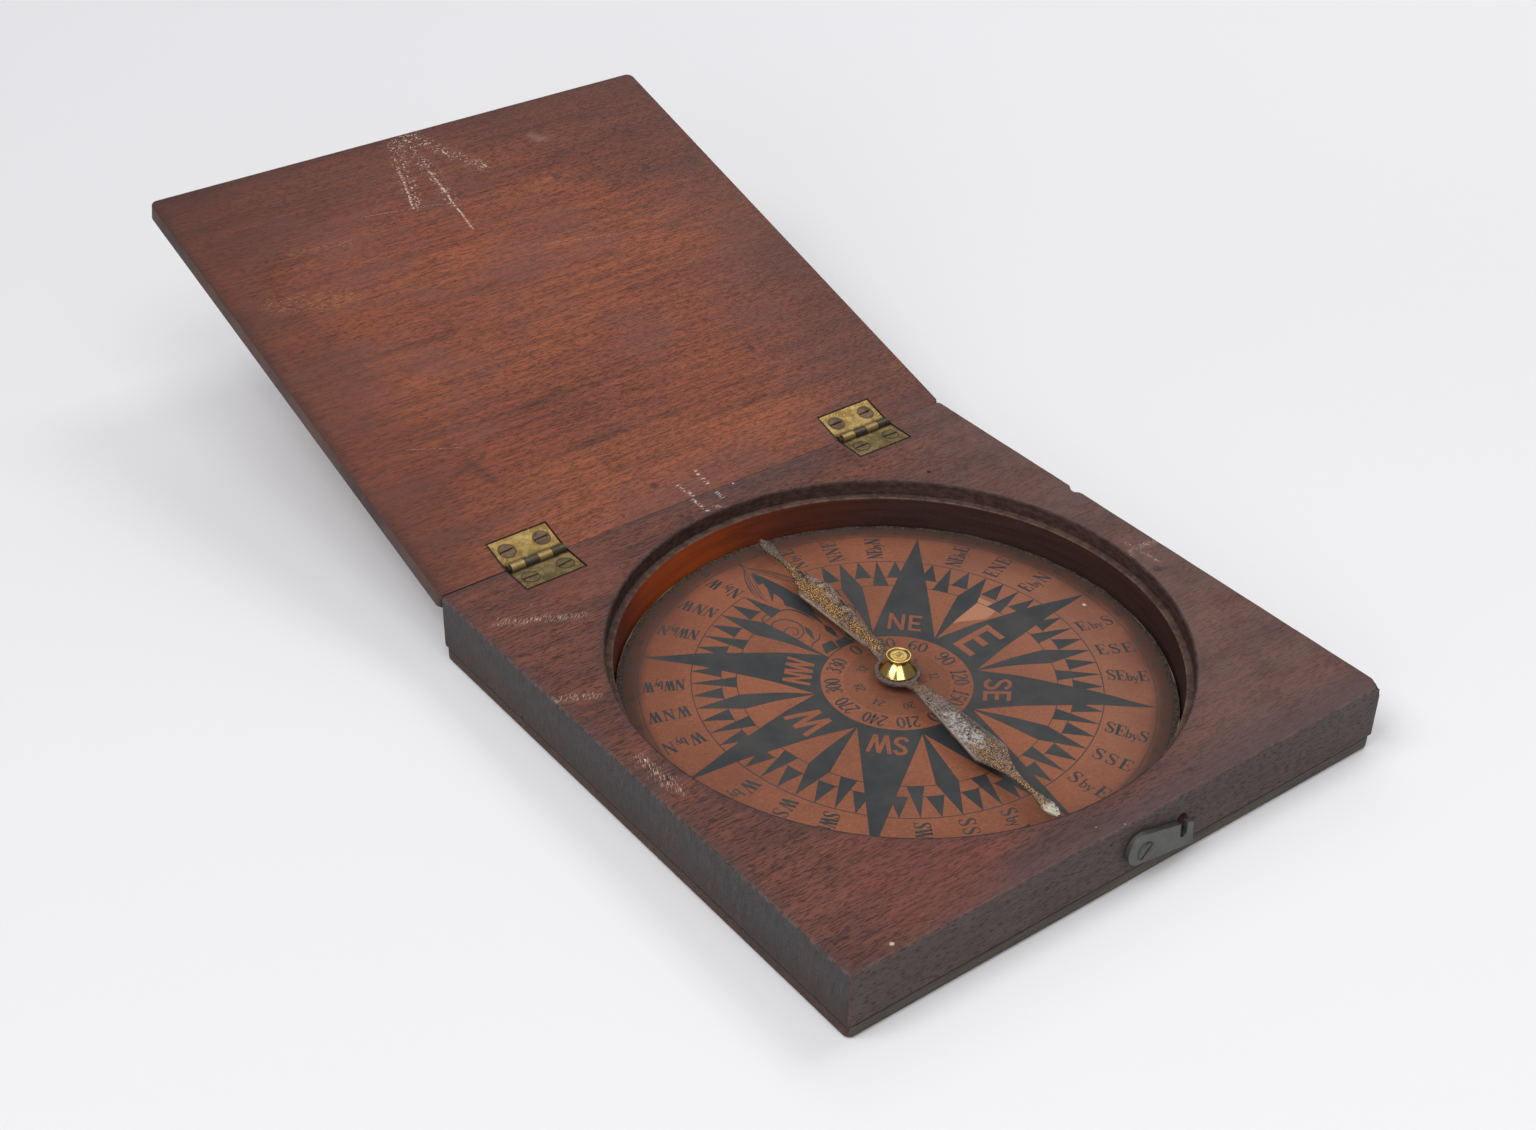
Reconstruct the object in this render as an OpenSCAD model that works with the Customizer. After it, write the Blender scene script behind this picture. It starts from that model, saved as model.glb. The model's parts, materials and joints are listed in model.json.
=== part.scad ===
// Boxed magnetic compass: a square wooden case with a stepped round well, a hinged lid that lies back,
// a printed card on the floor of the well and a steel needle that turns on a pivot pin.
// The origin is the middle of the underside. X runs along the hinges, the latch faces -Y, Z is up.

/* [Case] */
// Width of the case, along the hinges
case_w = 152; // [150:0.5:165]
// Depth of the case, from the latch side to the hinge side
case_d = 151; // [149:0.5:165]
// Height of the case with its bottom board
case_h = 17.7; // [17:0.1:22]
// Radius of the case's upright corners
case_corner = 1.2; // [0.5:0.1:3]
// Thickness of the bottom board
bottom_t = 3.9; // [3:0.1:4.5]
// How far the bottom board's edge stands in from the case's sides
bottom_inset = 0.3; // [0.1:0.1:1]
// Radius of the bottom board's corners
bottom_corner = 3; // [1:0.5:5]

/* [Well] */
// How far the well's middle lies to the right of the case's middle
well_x = -0.6; // [-1:0.1:1]
// How far the well's middle lies behind the case's middle
well_y = 0.2; // [-1:0.1:1]
// Radius of the rebate that once held a glass
rebate_r = 66.5; // [63:0.5:68]
// Depth of the rebate below the case's top
rebate_depth = 3.9; // [3:0.1:4.4]
// Width of the ledge at the foot of the rebate
ledge_w = 1.7; // [1.2:0.1:2.4]

/* [Card] */
// Thickness of the pasteboard disc under the card
backing_t = 1.6; // [1:0.1:1.8]
// Thickness of the printed card
card_t = 0.3; // [0.2:0.1:0.5]
// Gap between the pasteboard disc and the well's wall
backing_gap = 0.5; // [0.3:0.1:1]
// Gap between the printed card and the well's wall
card_gap = 0.3; // [0.2:0.1:1]

/* [Pivot and needle] */
// Radius of the pivot pin
pin_r = 0.9; // [0.6:0.1:1.1]
// Depth of the pivot pin in the bottom board
pin_depth = 2.6; // [1.5:0.1:2.8]
// Height of the needle's underside at its hub, above the card
hub_lift = 2.55; // [2.2:0.05:2.8]
// Thickness of the needle
needle_t = 0.8; // [0.6:0.1:1]
// How far the needle's arms stand above its hub
arm_lift = 1.2; // [0.6:0.1:1.4]
// Gap between the needle's tips and the well's wall
tip_gap = 5.3; // [4:0.1:7]
// Radius of the needle's hub
hub_r = 5.4; // [4.8:0.1:6]
// Half width of an arm where it leaves the hub
arm_root = 1.45; // [1.2:0.05:2]
// Half width of an arm at its shoulder
arm_shoulder = 4.3; // [3.6:0.05:4.8]
// Half width of an arm at its waist
arm_waist = 0.6; // [0.5:0.05:0.9]
// Half width of the small spade at the end of an arm
spade_half = 1.6; // [1.2:0.1:2]
// Half width of the spade's blunt end
spade_end = 0.4; // [0.2:0.1:0.6]
// Angle from the case's depth to the needle at rest, clockwise from above
needle_turn = 5.3; // [-20:0.1:20]

/* [Cap] */
// Radius of the cap's skirt
cap_r = 4.33; // [4:0.05:4.6]
// Height of the skirt's upright band
cap_band = 0.45; // [0.3:0.05:0.6]
// Radius of the cap's neck
neck_r = 2.1; // [1.95:0.05:2.4]
// Height of the cap above the needle's hub
cap_h = 4.45; // [4.2:0.05:4.6]
// Radius of the flange at the cap's top
flange_r = 2.95; // [2.7:0.05:3.3]
// Thickness of the cap's flange
flange_t = 0.5; // [0.4:0.05:0.6]
// Radius of the cap's stem, which passes through the needle
stem_r = 2.45; // [2.3:0.05:2.7]
// Radius of the rim that is spun over below the needle
rivet_r = 3.1; // [2.9:0.1:3.5]
// Thickness of the spun rim
rivet_t = 0.3; // [0.2:0.05:0.4]
// Radius of the hollow inside the cap
hollow_r = 1.65; // [1.4:0.05:1.7]
// Radius of the bearing stone
jewel_r = 1.35; // [1.1:0.05:1.35]
// Height of the bearing stone
jewel_h = 1.1; // [0.9:0.05:1.2]

/* [Lid] */
// Thickness of the lid
lid_t = 4.75; // [4.4:0.05:6]
// How far the closed lid stops short of the case's front
lid_setback = 0.5; // [0.2:0.1:1]
// Radius of the lid's corners
lid_corner = 2; // [0.5:0.1:4]
// Gap between the closed lid and the case
lid_gap = 0.1; // [0.1:0.05:0.2]
// Angle between the lid closed and the lid open against its stop
lid_open = 163.3; // [150:0.1:167]
// Gap between the two stop faces when the lid is open
stop_gap = 0.1; // [0.05:0.01:0.15]

/* [Hinges] */
// Distance from a side of the case to the middle of its hinge
hinge_from_side = 26; // [22:0.5:34]
// Distance from the case's back to the hinge axis
axis_inset = 0.3; // [0.2:0.05:0.4]
// Width of a hinge
leaf_w = 16; // [15:0.5:19]
// Length of a leaf from the hinge axis
leaf_len = 8.9; // [8.4:0.1:10]
// Thickness of a leaf
leaf_t = 0.9; // [0.8:0.05:1]
// Radius of the knuckles
knuckle_r = 1.3; // [1.2:0.05:1.4]
// Radius of a hinge pin
hinge_pin_r = 0.6; // [0.5:0.05:0.65]
// Length of pin that shows at the left of the knuckles
pin_stub = 0.8; // [0.5:0.1:1.2]
// Gap between neighbouring knuckles
knuckle_gap = 0.12; // [0.1:0.02:0.2]
// Distance between a leaf's two screws
screw_pitch = 9.6; // [9:0.1:10]
// Distance from the hinge axis to the screws
screw_from_axis = 5.3; // [5:0.1:5.6]

/* [Screws] */
// Radius of a hinge screw's head
head_r = 2.03; // [1.9:0.01:2.1]
// Radius of a hinge screw's shank
shank_r = 1; // [0.8:0.05:1.05]
// Length of the screws in the case
case_screw_len = 6.4; // [5:0.1:8]
// Length of the screws in the lid
lid_screw_len = 4; // [3.2:0.1:4.2]
// Width of a screw's slot
slot_w = 0.6; // [0.4:0.05:0.8]
// Depth of a screw's slot
slot_depth = 0.4; // [0.3:0.05:0.5]

/* [Latch] */
// How far the hook's pivot lies to the right of the case's middle
latch_x = 1.6; // [-10:0.1:10]
// Height of the hook's pivot above the underside
latch_z = 9.2; // [8.9:0.1:9.6]
// Thickness of the hook
hook_t = 1.4; // [1.2:0.1:1.8]
// Radius of the hook's round end
hook_end_r = 3.94; // [3.6:0.02:4.1]
// Taper of each edge of the hook towards its nose, in degrees
hook_taper = 3; // [2:0.1:4]
// Droop of the parked hook below the level, in degrees
hook_droop = 11.6; // [8:0.1:12]
// Distance from the pivot to the top corner of the nose
nose_top = 13.5; // [13:0.1:14.5]
// Distance from the pivot to the bottom corner of the nose
nose_bottom = 15.6; // [14.6:0.1:15.6]
// Distance from the pivot to the middle of the notch
notch_reach = 11.25; // [11:0.05:11.4]
// Width of the notch
notch_w = 2; // [1.9:0.05:2.2]
// Height of the notch's round foot, below the level of the pivot
notch_foot = 1; // [0.6:0.1:1.4]
// Lean of the notch from the upright, in degrees
notch_lean = 5; // [3:0.5:6]
// Radius of the latch screw's head
latch_head_r = 2.25; // [2.1:0.05:2.4]
// Radius of the latch screw's shank
latch_shank_r = 1.1; // [0.9:0.05:1.2]
// Length of the latch screw below the hook's face
latch_screw_len = 7.6; // [5:0.1:8]
// Height of the latch screw's head above the hook's face
latch_head_lift = 0.3; // [0.1:0.05:0.5]
// Radius of the catch stud in the lid's front edge
stud_r = 0.6; // [0.5:0.05:0.65]
// How far the catch stud stands out of the lid
stud_out = 1.5; // [1.2:0.1:1.6]
// Depth of the catch stud in the lid
stud_in = 6; // [4:0.5:8]
// Radius of the old pin hole above the notch
old_hole_r = 1.5; // [1:0.1:1.6]
// Depth of the old pin hole
old_hole_depth = 2.6; // [1.5:0.1:3]

/* [Brads] */
// Radius of the brads that hold the bottom board
brad_r = 0.7; // [0.5:0.05:0.9]
// Length of a brad
brad_len = 9; // [7:0.5:10]
// Distance from the case's sides to the corner brads
brad_inset = 8; // [6:0.5:10]
// Distance from the case's edge to the brads beside the middle
brad_edge = 5.5; // [4:0.1:6]
// Distance from the middle to the brads beside it
brad_side = 28; // [20:1:36]

/* [Hidden] */
$fn = 96;
// Clearance round a shaft that turns
running_gap = 0.05;
// Clearance round a piece that is fixed in a hole
snug_gap = 0.04;
// Clearance of a hinge leaf in its mortise, on three sides
mortise_gap = 0.15;
// Wider clearance on the right of each hinge, where the mortise was cut too long
mortise_right_gap = 0.5;
// Clearance below a leaf and round the knuckles in the wood
bed_gap = 0.04;
channel_gap = 0.25;
// Clearance between a leaf and the other leaf's knuckles
leaf_clear = 0.15;
// Gap between the hook and the case
hook_gap = 0.15;
// Depth of a head's top below the leaf's face
head_sink = 0.03;
// Knuckles of a hinge, counted from the left: the lid's first, then one of the case's
knuckle_count = 4;
// Overrun that makes a cut pass cleanly through a face
cut = 1;
// Flat left on the point of the pivot pin and of each screw
point_r = 0.03;
screw_point_r = 0.25;
screw_point_len = 2.4;
// Where the needle's outline changes, as shares of its half length
shoulder_share = 0.6;
waist_share = 0.835;
spade_share = 0.945;
// How sharply the outline falls from the shoulder to the waist
hollow_power = 2.2;
// Length over which the arms step up from the hub
crank_len = 4;
// Height of the bearing stone in the cap and depth of its cup, as shares
jewel_share = 0.52;
cup_share = 0.6;
// Height of the old pin hole above the latch's pivot, as a share of the notch's width
old_hole_share = 0.85;

bore_r = rebate_r - ledge_w;
card_top = bottom_t + backing_t + card_t;
hub_low = card_top + hub_lift;
hub_top = hub_low + needle_t;
needle_half = bore_r - tip_gap;
cap_top = hub_top + cap_h;

axis_y = case_d / 2 - axis_inset;
axis_z = case_h + lid_gap / 2;
lid_low = case_h + lid_gap;
lid_front = -case_d / 2 + lid_setback;
bevel = (180 - lid_open) / 2;
hinge_x = case_w / 2 - hinge_from_side;
hinge_places = [-hinge_x, hinge_x];

hook_back = -case_d / 2 - hook_gap;
hook_face = hook_back - hook_t;
hook_end_x = -1.3;
hook_mid = 0.72;
// How far the hook's straight edges cut inside the circle of its round end
edge_set = 0.03;
notch_angle = atan2(notch_foot, notch_reach);
stud_reach = sqrt(pow(notch_reach, 2) + pow(notch_foot, 2));
stud_x = latch_x;
stud_z = latch_z + stud_reach;
hook_swing = 90 + notch_angle;

// Turn of each screw's slot from the hinge's length, left and right screw of each hinge
case_slots = [[-2, 9], [2, -3]];
lid_slots = [[4, 3], [1, 2]];
latch_slot = 46;

mahogany = [0.42, 0.22, 0.17];
dark_mahogany = [0.33, 0.2, 0.17];
tarnished_brass = [0.66, 0.56, 0.3];
polished_brass = [0.85, 0.7, 0.3];
worn_steel = [0.45, 0.43, 0.4];
old_paper = [0.62, 0.4, 0.3];
pasteboard = [0.5, 0.42, 0.33];
agate = [0.55, 0.25, 0.2];

// A slab with round upright corners, w wide, d deep, standing on z = 0
module rounded_slab(w, d, h, r) {
  linear_extrude(h) {
    square([w - 2 * r, d], center = true);
    square([w, d - 2 * r], center = true);
    for (sx = [-1, 1], sy = [-1, 1]) {
      translate([sx * (w / 2 - r), sy * (d / 2 - r)]) circle(r);
    }
  }
}

// What is modelled closed, turned about the hinge axis to the open lid's place
module opened() {
  translate([0, axis_y, axis_z])
    rotate([-lid_open, 0, 0])
      translate([0, -axis_y, -axis_z])
        children();
}

// The half space behind a stop face through the hinge axis: side is 1 for the case, -1 for the lid
module behind_stop(side) {
  translate([0, axis_y, axis_z])
    rotate([side * bevel, 0, 0])
      translate([-case_w / 2 - cut, -stop_gap / 2, -case_h])
        cube([case_w + 2 * cut, case_h, 2 * case_h]);
}

// Wood cut away for one leaf and its knuckles: side is -1 below the joint (case), 1 above it (lid)
module mortise(x, side) {
  left = x - leaf_w / 2 - mortise_gap;
  width = leaf_w + mortise_gap + mortise_right_gap;
  front = axis_y - leaf_len - mortise_gap;
  face = axis_z + side * lid_gap / 2;
  depth = leaf_t + bed_gap;
  low = side > 0 ? face - cut : face - depth;
  translate([left, front, low]) cube([width, leaf_len + mortise_gap + cut, depth + cut]);
  translate([left, axis_y, axis_z])
    rotate([0, 90, 0]) cylinder(r = knuckle_r + channel_gap, h = width);
}

// Screw places of one leaf, as x offsets from its middle
function screw_offsets() = [-screw_pitch / 2, screw_pitch / 2];

// One slotted countersunk wood screw, its head's face at z = 0 and its shank down the -Z axis
module wood_screw(head, shank, length, slot_turn, lift) {
  cone_h = head - shank;
  difference() {
    union() {
      translate([0, 0, -cone_h]) cylinder(r1 = shank, r2 = head, h = cone_h);
      cylinder(r1 = head, r2 = head - lift, h = lift);
      translate([0, 0, -length + screw_point_len])
        cylinder(r = shank, h = length - screw_point_len - cone_h);
      translate([0, 0, -length])
        cylinder(r1 = screw_point_r, r2 = shank, h = screw_point_len);
    }
    rotate([0, 0, slot_turn])
      translate([-head - cut, -slot_w / 2, lift - slot_depth])
        cube([2 * (head + cut), slot_w, slot_depth + cut]);
  }
}

// The seat of such a screw: a countersink and a hole through whatever it passes
module screw_seat(head, shank, length, gap) {
  cone_h = head - shank;
  translate([0, 0, -cone_h]) cylinder(r1 = shank + gap, r2 = head + gap, h = cone_h);
  cylinder(r = head + gap, h = cut);
  translate([0, 0, -length - gap]) cylinder(r = shank + gap, h = length + gap);
}

// One leaf with its knuckles: side is -1 for the case's leaf, 1 for the lid's, which has the first knuckle
module leaf(x, side) {
  face = axis_z + side * lid_gap / 2;
  low = side > 0 ? face : face - leaf_t;
  left = x - leaf_w / 2 + pin_stub;
  pitch = (leaf_w - pin_stub) / knuckle_count;
  own = side > 0 ? 0 : 1;
  color(tarnished_brass)
  difference() {
    union() {
      difference() {
        translate([x - leaf_w / 2, axis_y - leaf_len, low]) cube([leaf_w, leaf_len, leaf_t]);
        // Room for the other leaf's knuckles
        for (k = [1 - own : 2 : knuckle_count - 1]) {
          translate([left + k * pitch - leaf_clear, axis_y, axis_z])
            rotate([0, 90, 0]) cylinder(r = knuckle_r + leaf_clear, h = pitch + 2 * leaf_clear);
        }
        translate([x - leaf_w / 2 - cut, axis_y, axis_z])
          rotate([0, 90, 0]) cylinder(r = knuckle_r + leaf_clear, h = pin_stub + cut);
      }
      for (k = [own : 2 : knuckle_count - 1]) {
        translate([left + k * pitch + knuckle_gap / 2, axis_y, axis_z])
          rotate([0, 90, 0]) cylinder(r = knuckle_r, h = pitch - knuckle_gap);
      }
    }
    translate([x - leaf_w, axis_y, axis_z])
      rotate([0, 90, 0]) cylinder(r = hinge_pin_r + running_gap, h = 2 * leaf_w);
    for (dx = screw_offsets()) {
      translate([x + dx, axis_y - screw_from_axis, face - side * head_sink])
        rotate([side > 0 ? 180 : 0, 0, 0]) screw_seat(head_r, shank_r, leaf_t + cut, snug_gap);
    }
  }
}

module hinge_pin(x) {
  color(worn_steel)
    translate([x - leaf_w / 2 + knuckle_gap, axis_y, axis_z])
      rotate([0, 90, 0]) cylinder(r = hinge_pin_r, h = leaf_w - 2 * knuckle_gap);
}

// The two screws of one leaf
module leaf_screws(x, side, length, slots) {
  face = axis_z + side * lid_gap / 2;
  for (i = [0, 1]) {
    color(worn_steel)
      translate([x + screw_offsets()[i], axis_y - screw_from_axis, face - side * head_sink])
        rotate([side > 0 ? 180 : 0, 0, 0]) wood_screw(head_r, shank_r, length, slots[i], 0);
  }
}

// Holes in the wood for the two screws of one leaf
module leaf_screw_holes(x, side, length) {
  face = axis_z + side * lid_gap / 2;
  for (dx = screw_offsets()) {
    translate([x + dx, axis_y - screw_from_axis, face - side * head_sink])
      rotate([side > 0 ? 180 : 0, 0, 0])
        screw_seat(head_r, shank_r, length, snug_gap);
  }
}

// Places of the brads in the bottom board
function brad_places() = [
  for (sx = [-1, 1], sy = [-1, 1])
    for (p = [[case_w / 2 - brad_inset, case_d / 2 - brad_inset], [brad_side, case_d / 2 - brad_edge]])
      [sx * p[0], sy * p[1]]
];

module brad_holes() {
  for (p = brad_places()) {
    translate([p[0], p[1], -cut]) cylinder(r = brad_r + snug_gap, h = brad_len + cut + 2 * snug_gap);
  }
}

module in_well() {
  translate([well_x, well_y, 0]) children();
}

// The hook's frame: pivot at the origin, X to the right and Y up as seen from the latch side
module on_latch_face(y) {
  translate([latch_x, y, latch_z]) rotate([90, 0, 0]) children();
}

module case_body() {
  color(mahogany)
  difference() {
    translate([0, 0, bottom_t]) rounded_slab(case_w, case_d, case_h - bottom_t, case_corner);
    in_well() {
      translate([0, 0, bottom_t - cut]) cylinder(r = bore_r, h = case_h);
      translate([0, 0, case_h - rebate_depth]) cylinder(r = rebate_r, h = rebate_depth + cut);
    }
    behind_stop(1);
    for (i = [0, 1]) {
      mortise(hinge_places[i], -1);
      leaf_screw_holes(hinge_places[i], -1, case_screw_len);
    }
    on_latch_face(hook_face)
      translate([0, 0, -latch_screw_len - snug_gap])
        cylinder(r = latch_shank_r + snug_gap, h = latch_screw_len);
    // Old pin hole beside the mouth of the notch
    translate([latch_x + notch_reach + notch_w / 4, -case_d / 2 + old_hole_depth, latch_z + old_hole_share * notch_w])
      rotate([90, 0, 0]) cylinder(r = old_hole_r, h = old_hole_depth + cut);
    brad_holes();
  }
}

module bottom_board() {
  color(dark_mahogany)
  difference() {
    rounded_slab(case_w - 2 * bottom_inset, case_d - 2 * bottom_inset, bottom_t, bottom_corner);
    in_well() translate([0, 0, bottom_t - pin_depth - snug_gap])
      cylinder(r = pin_r + snug_gap, h = pin_depth + cut);
    brad_holes();
  }
}

module bottom_brads() {
  for (p = brad_places()) {
    color(worn_steel) translate([p[0], p[1], snug_gap]) cylinder(r = brad_r, h = brad_len);
  }
}

module card_backing() {
  color(pasteboard)
  in_well() difference() {
    translate([0, 0, bottom_t]) cylinder(r = bore_r - backing_gap, h = backing_t);
    translate([0, 0, bottom_t - cut]) cylinder(r = pin_r + snug_gap, h = backing_t + 2 * cut);
  }
}

module compass_card() {
  color(old_paper)
  in_well() difference() {
    translate([0, 0, card_top - card_t]) cylinder(r = bore_r - card_gap, h = card_t);
    translate([0, 0, card_top - card_t - cut]) cylinder(r = pin_r + snug_gap, h = card_t + 2 * cut);
  }
}

// Height of the bearing point inside the jewel, and of the jewel's lower face
jewel_low = hub_top + jewel_share * cap_h;
cup_depth = cup_share * jewel_h;
point_z = jewel_low + cup_depth - running_gap;
cone_len = 2.4;

module pivot_pin() {
  color(worn_steel)
  in_well() {
    translate([0, 0, bottom_t - pin_depth]) cylinder(r = pin_r, h = pin_depth + point_z - cone_len - bottom_t);
    translate([0, 0, point_z - cone_len]) cylinder(r1 = pin_r, r2 = point_r, h = cone_len);
  }
}

// Distances along an arm: its root, shoulder, waist and the widest place of its spade
crank_from = hub_r;
crank_to = hub_r + crank_len;
shoulder_at = shoulder_share * needle_half;
waist_at = waist_share * needle_half;
spade_at = spade_share * needle_half;
curve_steps = 8;

// Half width of an arm: an even flare over distance s, a hollow curve to the waist, then the spade,
// the last two over a share u of their lengths
function flare(s) = arm_root + (arm_shoulder - arm_root) * (s - hub_r) / (shoulder_at - hub_r);
function hollow(u) = arm_waist + (arm_shoulder - arm_waist) * pow(1 - u, hollow_power);
function spade(u) = arm_waist + (spade_half - arm_waist) * (1 - cos(180 * u)) / 2;
function arm_side() = concat(
  [[arm_root, 0]],
  [for (i = [0 : curve_steps]) let (s = hub_r + (shoulder_at - hub_r) * i / curve_steps) [flare(s), s]],
  [for (i = [1 : curve_steps]) let (u = i / curve_steps) [hollow(u), shoulder_at + (waist_at - shoulder_at) * u]],
  [for (i = [1 : curve_steps]) let (u = i / curve_steps) [spade(u), waist_at + (spade_at - waist_at) * u]],
  [[spade_end, needle_half]]
);
function flipped(points) = [for (i = [len(points) - 1 : -1 : 0]) [-points[i][0], points[i][1]]];

module needle() {
  tip = needle_half + cut;
  color(worn_steel)
  in_well() rotate([0, 0, -needle_turn]) difference() {
    intersection() {
      translate([0, 0, hub_low - cut]) linear_extrude(arm_lift + needle_t + 2 * cut) {
        circle(hub_r);
        for (turn = [0, 180]) {
          rotate(turn) polygon(concat(arm_side(), flipped(arm_side())));
        }
      }
      // The side view: the hub lies lower and the arms step up from it
      rotate([90, 0, 90]) linear_extrude(4 * hub_r, center = true) polygon([
        [-tip, hub_low + arm_lift], [-crank_to, hub_low + arm_lift], [-crank_from, hub_low],
        [crank_from, hub_low], [crank_to, hub_low + arm_lift], [tip, hub_low + arm_lift],
        [tip, hub_top + arm_lift], [crank_to, hub_top + arm_lift], [crank_from, hub_top],
        [-crank_from, hub_top], [-crank_to, hub_top + arm_lift], [-tip, hub_top + arm_lift]
      ]);
    }
    cylinder(r = stem_r + snug_gap, h = cap_top);
  }
}

module needle_cap() {
  rim_w = 0.35;
  groove_w = 0.3;
  groove_depth = 0.2;
  dish_depth = 0.12;
  dot_r = 0.45;
  under = cap_top - flange_t;
  color(polished_brass)
  in_well() difference() {
    rotate_extrude() polygon([
      [0, hub_low - snug_gap - rivet_t], [rivet_r, hub_low - snug_gap - rivet_t],
      [rivet_r, hub_low - snug_gap], [stem_r, hub_low - snug_gap], [stem_r, hub_top + snug_gap],
      [cap_r - rivet_t / 2, hub_top + snug_gap], [cap_r, hub_top + rivet_t / 2 + snug_gap],
      [cap_r, hub_top + cap_band], [neck_r, under - 0.5 * flange_t], [neck_r, under - 0.2 * flange_t],
      [flange_r - 0.1, under], [flange_r, under + 0.1], [flange_r, cap_top - 0.1],
      [flange_r - 0.1, cap_top], [flange_r - rim_w, cap_top],
      [flange_r - rim_w, cap_top - groove_depth], [flange_r - rim_w - groove_w, cap_top - groove_depth],
      [flange_r - rim_w - groove_w, cap_top - dish_depth], [dot_r + groove_w / 2, cap_top - dish_depth],
      [dot_r, cap_top - groove_depth], [0, cap_top - groove_depth]
    ]);
    translate([0, 0, hub_low - cut - rivet_t]) cylinder(r = hollow_r, h = jewel_low - hub_low + cut + rivet_t);
    translate([0, 0, jewel_low - cut]) cylinder(r = jewel_r + snug_gap, h = jewel_h + snug_gap + cut);
  }
}

module cap_jewel() {
  color(agate)
  in_well() difference() {
    translate([0, 0, jewel_low]) cylinder(r = jewel_r, h = jewel_h);
    translate([0, 0, jewel_low - point_r]) cylinder(r1 = 0.8, r2 = 0, h = cup_depth + point_r);
  }
}

module left_case_leaf() {
  leaf(hinge_places[0], -1);
}

module right_case_leaf() {
  leaf(hinge_places[1], -1);
}

module left_lid_leaf() {
  opened() leaf(hinge_places[0], 1);
}

module right_lid_leaf() {
  opened() leaf(hinge_places[1], 1);
}

module left_hinge_pin() {
  hinge_pin(hinge_places[0]);
}

module right_hinge_pin() {
  hinge_pin(hinge_places[1]);
}

module left_case_screws() {
  leaf_screws(hinge_places[0], -1, case_screw_len, case_slots[0]);
}

module right_case_screws() {
  leaf_screws(hinge_places[1], -1, case_screw_len, case_slots[1]);
}

module left_lid_screws() {
  opened() leaf_screws(hinge_places[0], 1, lid_screw_len, lid_slots[0]);
}

module right_lid_screws() {
  opened() leaf_screws(hinge_places[1], 1, lid_screw_len, lid_slots[1]);
}

module lid_board() {
  depth = case_d / 2 - lid_front;
  color(mahogany)
  opened() difference() {
    translate([0, (case_d / 2 + lid_front) / 2, lid_low]) rounded_slab(case_w, depth, lid_t, lid_corner);
    behind_stop(-1);
    for (i = [0, 1]) {
      mortise(hinge_places[i], 1);
      leaf_screw_holes(hinge_places[i], 1, lid_screw_len);
    }
    translate([stud_x, lid_front + stud_in + snug_gap, stud_z])
      rotate([90, 0, 0]) cylinder(r = stud_r + snug_gap, h = stud_in + cut);
  }
}

module catch_stud() {
  color(worn_steel)
  opened() translate([stud_x, lid_front + stud_in, stud_z])
    rotate([90, 0, 0]) cylinder(r = stud_r, h = stud_in + stud_out);
}

// Points of the hook's edges at distance a along the plate: side is 1 for the top edge, -1 for the bottom
function hook_edge(a, side) = [
  a, hook_mid + side * ((hook_end_r - edge_set) / cos(hook_taper) - (a - hook_end_x) * tan(hook_taper))
];

module latch_hook() {
  color(worn_steel)
  on_latch_face(hook_back) difference() {
    rotate([0, 0, -hook_droop]) union() {
      translate([hook_end_x, hook_mid, 0]) cylinder(r = hook_end_r, h = hook_t);
      linear_extrude(hook_t) polygon([
        hook_edge(hook_end_x, 1), hook_edge(nose_top, 1), hook_edge(nose_bottom, -1), hook_edge(hook_end_x, -1)
      ]);
    }
    // The notch that takes the stud in the lid's edge
    translate([notch_reach, 0, -cut]) rotate([0, 0, notch_lean]) {
      translate([-notch_w / 2, -notch_foot, 0]) cube([notch_w, 2 * hook_end_r, hook_t + 2 * cut]);
      translate([0, -notch_foot, 0]) cylinder(r = notch_w / 2, h = hook_t + 2 * cut);
    }
    translate([0, 0, hook_t]) screw_seat(latch_head_r, latch_shank_r, hook_t + cut, running_gap);
  }
}

module latch_screw() {
  color(worn_steel)
  on_latch_face(hook_face) wood_screw(latch_head_r, latch_shank_r, latch_screw_len, latch_slot, latch_head_lift);
}

case_body();
bottom_board();
bottom_brads();
card_backing();
compass_card();
pivot_pin();
left_case_leaf();
right_case_leaf();
left_hinge_pin();
right_hinge_pin();
left_case_screws();
right_case_screws();
latch_screw();
lid_board();
left_lid_leaf();
right_lid_leaf();
left_lid_screws();
right_lid_screws();
catch_stud();
needle();
needle_cap();
cap_jewel();
latch_hook();
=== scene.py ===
# %% [markdown]
# # A boxed magnetic compass
# The object is a small mahogany case, 152 mm square. Its lid lies open behind it on two let-in
# hinges. A printed card lies on the floor of a round well, and a long steel needle turns above it on
# a brass cap. A steel hook on the front once held the lid shut.
#
# The machined model comes in first as the fixed frame. Every new piece is worked out in millimetres
# in that frame and takes the place of one of its nodes, or lies on one of them.

import json
import math

import bmesh
import bpy
import numpy as np
from mathutils import Matrix, Vector

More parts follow.
